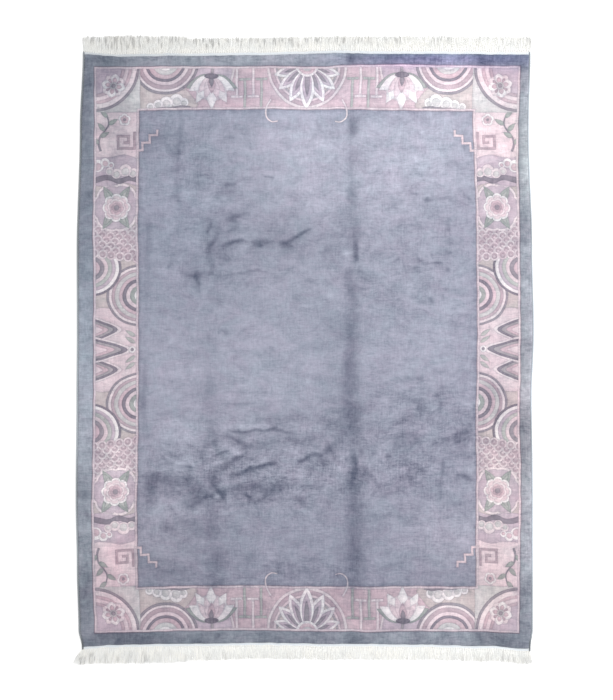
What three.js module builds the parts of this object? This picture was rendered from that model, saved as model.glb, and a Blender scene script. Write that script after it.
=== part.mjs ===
// A hand-knotted wool rug with a fringed end on each side, lying flat with its pile up.
// Millimetres, +Z up, +X across the rug, +Y towards its far fringe. The origin is on the
// floor under the middle of the rug.
import * as THREE from "three";
import {
  mergeGeometries,
  mergeVertices,
} from "three/addons/utils/BufferGeometryUtils.js";

// Sizes of the whole rug
const RUG_WIDTH = 2332; // over both selvedges, where the rug is widest
const PILE_LENGTH = 3000; // from the first row of knots to the last
const PILE_TOP = 12; // from the floor to the tips of the pile
const FOUNDATION = 3; // warp and weft under the pile, and the flat-woven ends
const CLEAR = 0.3; // between neighbouring pieces

// Flat-woven ends, selvedges and fringes
const WOVEN_END = 14; // flat-woven band between the pile and the fringe
const SELVEDGE_RADIUS = 4.5;
const SELVEDGE_SIDES = 8;
const SELVEDGE_TIP = 0.7; // share of its radius that is left at the ends of a selvedge
const KNOT_ROW = 9; // the row of knots that the fringe hangs from
const KNOT_HEIGHT = 4.5;
const TIP_HEIGHT = 2.5;
const TASSELS = 98; // along each end
const TASSEL_ROOT = 0.68; // width of a tassel at its knot, as a share of the pitch
const TASSEL_TIP = 0.5;
const TASSEL_SWAY = 6; // furthest that a tip lies to one side of its neighbours' lean
const TASSEL_UNEVEN = 4; // furthest that a tip falls short or runs past its neighbours

const HALF_WIDTH = RUG_WIDTH / 2;
const HALF_LENGTH = PILE_LENGTH / 2;
const CLOTH_INSET = 2 * SELVEDGE_RADIUS + CLEAR; // the cloth starts inside its selvedge

const PILE_COLOUR = 0x8a91a3;
const SELVEDGE_COLOUR = 0x666c7e;
const FRINGE_COLOUR = 0xe9e8e4;

// How far each long edge draws in from a straight line, along the rug.
const SIDES = [
  { at: -1510, left: 31, right: 20 },
  { at: -1420, left: 14, right: 8 },
  { at: -1100, left: 6, right: 7 },
  { at: -760, left: 0, right: 7 },
  { at: -250, left: 4, right: 13 },
  { at: 100, left: 6, right: 2 },
  { at: 500, left: 5, right: 10 },
  { at: 1120, left: 21, right: 28 },
  { at: 1510, left: 36, right: 20 },
];

// How far each end of the pile runs out past a straight line, across the rug.
const ENDS = [
  { at: -1150, far: 1, near: 8 },
  { at: -980, far: -9, near: -2 },
  { at: -600, far: -6, near: -7 },
  { at: -230, far: -2, near: -11 },
  { at: 170, far: 8, near: -6 },
  { at: 480, far: 5, near: -5 },
  { at: 940, far: 2, near: 4 },
  { at: 1150, far: 1, near: 18 },
];

// How far the tips of each fringe lie from the pile, and how far they lean to the right.
const FAR_FRINGE = [
  { at: -1150, length: 86, lean: 0 },
  { at: -940, length: 103, lean: -3 },
  { at: -560, length: 97, lean: 4 },
  { at: -230, length: 84, lean: -3 },
  { at: 170, length: 74, lean: 3 },
  { at: 480, length: 78, lean: -3 },
  { at: 940, length: 83, lean: 2 },
  { at: 1150, length: 86, lean: 6 },
];
const NEAR_FRINGE = [
  { at: -1150, length: 90, lean: -30 },
  { at: -960, length: 91, lean: -4 },
  { at: -560, length: 86, lean: 4 },
  { at: -230, length: 84, lean: -3 },
  { at: 200, length: 84, lean: 3 },
  { at: 560, length: 86, lean: -4 },
  { at: 940, length: 91, lean: 2 },
  { at: 1150, length: 79, lean: 6 },
];

// Height of the cloth near its long edges and near its ends, by distance from the edge.
const SIDE_ROUNDING = [
  { inset: 0, height: 8 },
  { inset: 3, height: 10.8 },
  { inset: 9, height: PILE_TOP },
];
const END_ROUNDING = [
  { inset: 0, height: FOUNDATION },
  { inset: WOVEN_END, height: FOUNDATION },
  { inset: WOVEN_END + 0.8, height: 8 },
  { inset: WOVEN_END + 4, height: 11 },
  { inset: WOVEN_END + 10, height: PILE_TOP },
];

// Stretches across and along the rug, with finer steps where it is creased.
const ACROSS = [
  { from: -1120, to: -860, steps: 3 },
  { from: -860, to: -20, steps: 15 },
  { from: -20, to: 150, steps: 2 },
  { from: 150, to: 320, steps: 4 },
  { from: 320, to: 1120, steps: 8 },
];
const ALONG = [
  { from: -1475, to: -860, steps: 6 },
  { from: -860, to: -420, steps: 10 },
  { from: -420, to: 400, steps: 6 },
  { from: 400, to: 760, steps: 8 },
  { from: 760, to: 1475, steps: 6 },
];

// Creases left by folding and by being walked on: soft ridges, and troughs where the height
// is negative, each along a line from one place to another and fading to either side.
const CREASES = [
  { x1: 222, y1: 1280, x2: 232, y2: 60, spread: 38, height: -3.2 },
  { x1: 232, y1: 60, x2: 248, y2: -1370, spread: 42, height: -3.6 },
  { x1: 172, y1: 900, x2: 176, y2: -1200, spread: 34, height: 1.8 },
  { x1: -620, y1: 1190, x2: -500, y2: 420, spread: 40, height: -2.2 },
  { x1: -490, y1: -440, x2: -455, y2: -1260, spread: 40, height: -2.4 },
  { x1: -480, y1: 548, x2: -250, y2: 552, spread: 30, height: 4.6 },
  { x1: -250, y1: 552, x2: -40, y2: 535, spread: 26, height: 4.2 },
  { x1: -40, y1: 535, x2: 105, y2: 632, spread: 26, height: 3.4 },
  { x1: -420, y1: -520, x2: -285, y2: -700, spread: 28, height: 4.4 },
  { x1: -315, y1: -668, x2: -60, y2: -572, spread: 26, height: 4.8 },
  { x1: -400, y1: -742, x2: -40, y2: -735, spread: 36, height: 3.4 },
  { x1: -790, y1: -742, x2: -470, y2: -690, spread: 44, height: 2.8 },
  { x1: 510, y1: 560, x2: 740, y2: 440, spread: 40, height: 2.6 },
  { x1: 560, y1: 768, x2: 690, y2: 752, spread: 34, height: 2.2 },
  { x1: 745, y1: -480, x2: 870, y2: -410, spread: 34, height: 2.6 },
];
const CREASE_MARGIN = 60; // creases fade out this close to the edges of the pile

// One column of a table at a place along it, eased between the rows on either side.
function along(table, column, at) {
  const next = table.findIndex((row) => row.at >= at);
  if (next === 0) return table[0][column];
  if (next < 0) return table[table.length - 1][column];
  const before = table[next - 1];
  const after = table[next];
  const share = THREE.MathUtils.smoothstep(at, before.at, after.at);
  return THREE.MathUtils.lerp(before[column], after[column], share);
}

// Height of a rounded edge at a distance from it.
function rounded(table, inset) {
  const next = table.findIndex((row) => row.inset > inset);
  if (next < 0) return table[table.length - 1].height;
  const before = table[next - 1];
  const after = table[next];
  const share = (inset - before.inset) / (after.inset - before.inset);
  return THREE.MathUtils.lerp(before.height, after.height, share);
}

function leftEdge(y) {
  return -HALF_WIDTH + along(SIDES, "left", y);
}

function rightEdge(y) {
  return HALF_WIDTH - along(SIDES, "right", y);
}

function farPileEnd(x) {
  return HALF_LENGTH + along(ENDS, "far", x);
}

function nearPileEnd(x) {
  return -HALF_LENGTH - along(ENDS, "near", x);
}

// How much the creases lift or sink the pile at a place: the highest ridge there, less the
// deepest trough, so that creases which meet end to end don't add up.
function creased(x, y) {
  const place = new THREE.Vector3(x, y, 0);
  const nearest = new THREE.Vector3();
  let ridge = 0;
  let trough = 0;
  for (const crease of CREASES) {
    const line = new THREE.Line3(
      new THREE.Vector3(crease.x1, crease.y1, 0),
      new THREE.Vector3(crease.x2, crease.y2, 0),
    );
    line.closestPointToPoint(place, true, nearest);
    const away = nearest.distanceTo(place) / crease.spread;
    const height = crease.height * Math.exp(-away * away);
    ridge = Math.max(ridge, height);
    trough = Math.min(trough, height);
  }
  return ridge + trough;
}

// Distances from the lower edge to every station: the rounding, the stretches, the rounding.
function stations(rounding, stretches, span) {
  const places = rounding.map((row) => row.inset);
  for (const stretch of stretches) {
    const step = (stretch.to - stretch.from) / stretch.steps;
    for (let k = 0; k < stretch.steps; k++)
      places.push(span / 2 + stretch.from + k * step);
  }
  places.push(span / 2 + stretches[stretches.length - 1].to);
  for (const row of [...rounding].reverse()) places.push(span - row.inset);
  return places;
}

const CLOTH_WIDTH = RUG_WIDTH - 2 * CLOTH_INSET;
const CLOTH_LENGTH = PILE_LENGTH + 2 * WOVEN_END;
const COLUMNS = stations(SIDE_ROUNDING, ACROSS, CLOTH_WIDTH);
const ROWS = stations(END_ROUNDING, ALONG, CLOTH_LENGTH);

// A place on the cloth: its edges are uneven, and the stations between them follow.
function clothPoint(column, row) {
  const u = COLUMNS[column] / CLOTH_WIDTH;
  const v = ROWS[row] / CLOTH_LENGTH;
  const straightX = THREE.MathUtils.lerp(-CLOTH_WIDTH / 2, CLOTH_WIDTH / 2, u);
  const near = nearPileEnd(straightX) - WOVEN_END;
  const far = farPileEnd(straightX) + WOVEN_END;
  const y = THREE.MathUtils.lerp(near, far, v);
  const left = leftEdge(y) + CLOTH_INSET;
  const right = rightEdge(y) - CLOTH_INSET;
  const x = THREE.MathUtils.lerp(left, right, u);
  const fromSide = Math.min(COLUMNS[column], CLOTH_WIDTH - COLUMNS[column]);
  const fromEnd = Math.min(ROWS[row], CLOTH_LENGTH - ROWS[row]);
  const flat = Math.min(
    rounded(SIDE_ROUNDING, fromSide),
    rounded(END_ROUNDING, fromEnd),
  );
  const inside = Math.min(fromSide, fromEnd - WOVEN_END);
  const fade = THREE.MathUtils.smoothstep(inside, 0, CREASE_MARGIN);
  return new THREE.Vector3(x, y, flat + fade * creased(x, y));
}

// The stations round the edge of the cloth, counterclockwise from above.
function clothBorder() {
  const lastColumn = COLUMNS.length - 1;
  const lastRow = ROWS.length - 1;
  const border = [];
  for (let i = 0; i < lastColumn; i++) border.push(clothPoint(i, 0));
  for (let j = 0; j < lastRow; j++) border.push(clothPoint(lastColumn, j));
  for (let i = lastColumn; i > 0; i--) border.push(clothPoint(i, lastRow));
  for (let j = lastRow; j > 0; j--) border.push(clothPoint(0, j));
  return border;
}

// Moves every vertex of a geometry to the place that a function gives for its number.
function shaped(geometry, placeOf) {
  const position = geometry.attributes.position;
  for (let k = 0; k < position.count; k++) {
    const place = placeOf(k, new THREE.Vector3().fromBufferAttribute(position, k));
    position.setXYZ(k, place.x, place.y, place.z);
  }
  return geometry;
}

function closed(geometries) {
  const joined = mergeGeometries(geometries);
  joined.deleteAttribute("normal");
  joined.deleteAttribute("uv");
  const merged = mergeVertices(joined, 1e-3);
  merged.computeVertexNormals();
  return merged;
}

// The knotted cloth with its flat-woven ends: a creased top, a low wall and a flat back.
function clothGeometry() {
  const border = clothBorder();
  const count = border.length;
  const across = COLUMNS.length;
  const top = shaped(
    new THREE.PlaneGeometry(1, 1, across - 1, ROWS.length - 1),
    (k) => clothPoint(k % across, ROWS.length - 1 - Math.floor(k / across)),
  );
  const wall = shaped(new THREE.PlaneGeometry(1, 1, count, 1), (k) => {
    const place = border[(k % (count + 1)) % count].clone();
    if (k > count) place.z = 0;
    return place;
  });
  const back = shaped(new THREE.CircleGeometry(1, count), (k) => {
    if (k === 0) return new THREE.Vector3(0, 0, 0);
    const place = border[(2 * count - k) % count].clone();
    place.z = 0;
    return place;
  });
  return closed([top, wall, back]);
}

// The overcast cord along one long edge, flat where it lies on the floor.
function selvedgeGeometry(column, edge, inwards) {
  const steps = ROWS.length - 1;
  const cord = new THREE.CylinderGeometry(
    SELVEDGE_RADIUS,
    SELVEDGE_RADIUS,
    1,
    SELVEDGE_SIDES,
    steps,
  );
  shaped(cord, (k, from) => {
    const row = Math.round((from.y + 0.5) * steps);
    const tip = row === 0 || row === steps ? SELVEDGE_TIP : 1;
    const y = clothPoint(column, row).y;
    const x = edge(y) + inwards * SELVEDGE_RADIUS + tip * from.x;
    return new THREE.Vector3(x, y, Math.max(0, SELVEDGE_RADIUS + tip * from.z));
  });
  return closed([cord]);
}

// The fringe of one end as one comb: a row of knots along the cloth, and its tassels.
function fringeGeometry(row, outwards, pileEnd, fall) {
  const comb = new THREE.Shape();
  const seam = COLUMNS.map((_, column) => clothPoint(column, row));
  const left = leftEdge(seam[0].y);
  const right = rightEdge(seam[seam.length - 1].y);
  comb.moveTo(left, seam[0].y + outwards * CLEAR);
  for (const place of seam) comb.lineTo(place.x, place.y + outwards * CLEAR);
  comb.lineTo(right, seam[seam.length - 1].y + outwards * CLEAR);
  const pitch = (right - left) / TASSELS;
  for (let k = TASSELS - 1; k >= 0; k--) {
    const x = left + (k + 0.5) * pitch;
    const root = pileEnd(x) + outwards * (WOVEN_END + KNOT_ROW);
    const sway = TASSEL_SWAY * Math.sin(k * 0.55) * Math.sin(k * 0.21 + 1);
    const lean = along(fall, "lean", x) + sway;
    const uneven = TASSEL_UNEVEN * Math.sin(k * 2.1) * Math.cos(k * 0.57);
    const tip = pileEnd(x) + outwards * (along(fall, "length", x) + uneven);
    const half = pitch / 2;
    comb.lineTo(x + half * TASSEL_ROOT, root);
    comb.lineTo(x + lean + half * TASSEL_TIP, tip - (outwards * uneven) / 2);
    comb.lineTo(x + lean - half * TASSEL_TIP, tip);
    comb.lineTo(x - half * TASSEL_ROOT, root);
  }
  const geometry = new THREE.ExtrudeGeometry(comb, {
    depth: KNOT_HEIGHT,
    bevelEnabled: false,
  });
  shaped(geometry, (k, from) => {
    const out = outwards * (from.y - pileEnd(from.x)) - WOVEN_END - KNOT_ROW;
    const share = THREE.MathUtils.clamp(out / (2 * KNOT_ROW), 0, 1);
    const height = THREE.MathUtils.lerp(KNOT_HEIGHT, TIP_HEIGHT, share);
    return from.setZ(from.z > 0 ? height : 0);
  });
  return closed([geometry]);
}

function wool(color) {
  return new THREE.MeshStandardMaterial({ color, roughness: 0.95, metalness: 0 });
}

function cotton(color) {
  return new THREE.MeshStandardMaterial({ color, roughness: 0.9, metalness: 0 });
}

function piece(name, geometry, material) {
  const mesh = new THREE.Mesh(geometry, material);
  mesh.name = name;
  return mesh;
}

const lastColumn = COLUMNS.length - 1;
const lastRow = ROWS.length - 1;
const rug = new THREE.Group();
rug.add(piece("rug_cloth", clothGeometry(), wool(PILE_COLOUR)));
rug.add(
  piece(
    "selvedge_left",
    selvedgeGeometry(0, leftEdge, 1),
    wool(SELVEDGE_COLOUR),
  ),
  piece(
    "selvedge_right",
    selvedgeGeometry(lastColumn, rightEdge, -1),
    wool(SELVEDGE_COLOUR),
  ),
);
rug.add(
  piece(
    "fringe_far",
    fringeGeometry(lastRow, 1, farPileEnd, FAR_FRINGE),
    cotton(FRINGE_COLOUR),
  ),
  piece(
    "fringe_near",
    fringeGeometry(0, -1, nearPileEnd, NEAR_FRINGE),
    cotton(FRINGE_COLOUR),
  ),
);

export default rug;
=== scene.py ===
"""A hand-knotted wool rug with a carved border, overcast selvedges and a knotted fringe at each end.

Places on the rug are worked out in millimetres from its middle, +X across it, +Y towards its far
fringe and +Z up out of the pile. They become metres when a mesh is made.
"""

import math
import random

import bmesh
import bpy
import numpy as np
from bpy.props import FloatProperty, FloatVectorProperty, IntProperty, PointerProperty
from bpy.types import Operator, Panel, PropertyGroup
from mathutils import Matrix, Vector
from mathutils.geometry import delaunay_2d_cdt
from mathutils.kdtree import KDTree


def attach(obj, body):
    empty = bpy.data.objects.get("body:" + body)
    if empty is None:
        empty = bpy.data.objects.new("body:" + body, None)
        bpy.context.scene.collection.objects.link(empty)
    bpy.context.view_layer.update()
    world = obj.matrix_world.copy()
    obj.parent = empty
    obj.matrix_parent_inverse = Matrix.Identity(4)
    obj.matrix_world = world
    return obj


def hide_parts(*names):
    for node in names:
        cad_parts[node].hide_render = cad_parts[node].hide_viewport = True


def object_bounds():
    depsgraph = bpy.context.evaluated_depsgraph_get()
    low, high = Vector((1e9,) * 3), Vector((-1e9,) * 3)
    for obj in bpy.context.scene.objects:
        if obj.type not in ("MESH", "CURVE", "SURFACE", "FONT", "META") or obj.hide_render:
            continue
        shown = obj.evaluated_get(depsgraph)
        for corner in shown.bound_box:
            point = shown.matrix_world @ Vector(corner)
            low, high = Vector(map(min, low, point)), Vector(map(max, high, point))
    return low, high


bl_info = {
    "name": "Hand-Knotted Rug",
    "version": (1, 0, 0),
    "blender": (4, 5, 0),
    "location": "View3D > Sidebar > Rug",
    "description": "Builds a carved wool rug with selvedges and fringes, lying flat",
    "category": "Add Mesh",
}

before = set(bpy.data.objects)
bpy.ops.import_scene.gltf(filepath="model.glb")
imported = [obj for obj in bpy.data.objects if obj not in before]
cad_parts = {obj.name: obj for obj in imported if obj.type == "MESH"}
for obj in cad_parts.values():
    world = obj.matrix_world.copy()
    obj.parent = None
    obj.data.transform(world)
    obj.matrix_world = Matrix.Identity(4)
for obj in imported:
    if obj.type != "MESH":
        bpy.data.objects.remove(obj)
CAD_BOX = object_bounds()

MM = 0.001
BAKE_MAP = "OFBake"

# The cloth, as the construction has it
HALF_WIDTH = 1166.0
HALF_LENGTH = 1500.0
PILE_TOP = 12.0
WOVEN_END = 14.0
SELVEDGE_RADIUS = 4.5
CLOTH_INSET = 2 * SELVEDGE_RADIUS + 0.3
PILE_WIDTH = 2 * (HALF_WIDTH - CLOTH_INSET)
PILE_LENGTH = 2 * HALF_LENGTH

# How far the long edges draw in from a straight line: along the rug, left, right
SIDES = (
    (-1510, 31, 20),
    (-1420, 14, 8),
    (-1100, 6, 7),
    (-760, 0, 7),
    (-250, 4, 13),
    (100, 6, 2),
    (500, 5, 10),
    (1120, 21, 28),
    (1510, 36, 20),
)

# How far the ends of the pile run out past a straight line: across the rug, far, near
ENDS = (
    (-1150, 1, 8),
    (-980, -9, -2),
    (-600, -6, -7),
    (-230, -2, -11),
    (170, 8, -6),
    (480, 5, -5),
    (940, 2, 4),
    (1150, 1, 18),
)

# The tips of each fringe: across the rug, their distance from the pile, their lean to the right
# and how strongly the painted shade of the gaps between the tassels shows
FAR_FRINGE = (
    (-1150, 92, 0, 0.90),
    (-940, 110, -3, 0.90),
    (-650, 103, 4, 0.72),
    (-580, 93, 4, 0.54),
    (-230, 92, -3, 0.44),
    (170, 89, 3, 0.46),
    (480, 93, -3, 0.36),
    (780, 93, -3, 0.27),
    (940, 94, 2, 0.26),
    (1150, 94, 4, 0.30),
)
NEAR_FRINGE = (
    (-1150, 96, -44, 0.42),
    (-1085, 98, -26, 0.40),
    (-980, 100, -6, 0.30),
    (-900, 101, -4, 0.26),
    (-720, 103, 4, 0.15),
    (-560, 91, 4, 0.11),
    (-230, 87, -3, 0.11),
    (200, 85, 3, 0.09),
    (560, 84, -4, 0.07),
    (800, 82, 2, 0.10),
    (1000, 84, 2, 0.28),
    (1150, 82, 3, 0.50),
)

# Height of the pile by distance from its edge
SIDE_ROUNDING = ((0, 8), (3, 10.8), (9, PILE_TOP))
END_ROUNDING = ((0, 6.5), (0.8, 8.6), (4, 11), (10, PILE_TOP))
CREASE_MARGIN = 60.0  # from the edge to where the creases have their full height
PILE_BASE, BACK_TOP = 2.4, 2.6  # where the pile ends downwards, and the back upwards

# Soft ridges, and troughs where the height is negative: two ends, how far each spreads, height
CREASES = (
    (222, 1280, 232, 60, 38, -3.2),
    (232, 60, 248, -1370, 42, -3.6),
    (172, 900, 176, -1200, 34, 1.8),
    (-620, 1190, -500, 420, 40, -2.2),
    (-490, -440, -455, -1260, 40, -2.4),
    (-480, 548, -250, 552, 30, 4.6),
    (-250, 552, -40, 535, 26, 4.2),
    (-40, 535, 105, 632, 26, 3.4),
    (-420, -520, -285, -700, 28, 4.4),
    (-315, -668, -60, -572, 26, 4.8),
    (-400, -742, -40, -735, 36, 3.4),
    (-790, -742, -470, -690, 44, 2.8),
    (510, 560, 740, 440, 40, 2.6),
    (560, 768, 690, 752, 34, 2.2),
    (745, -480, 870, -410, 34, 2.6),
)
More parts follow.
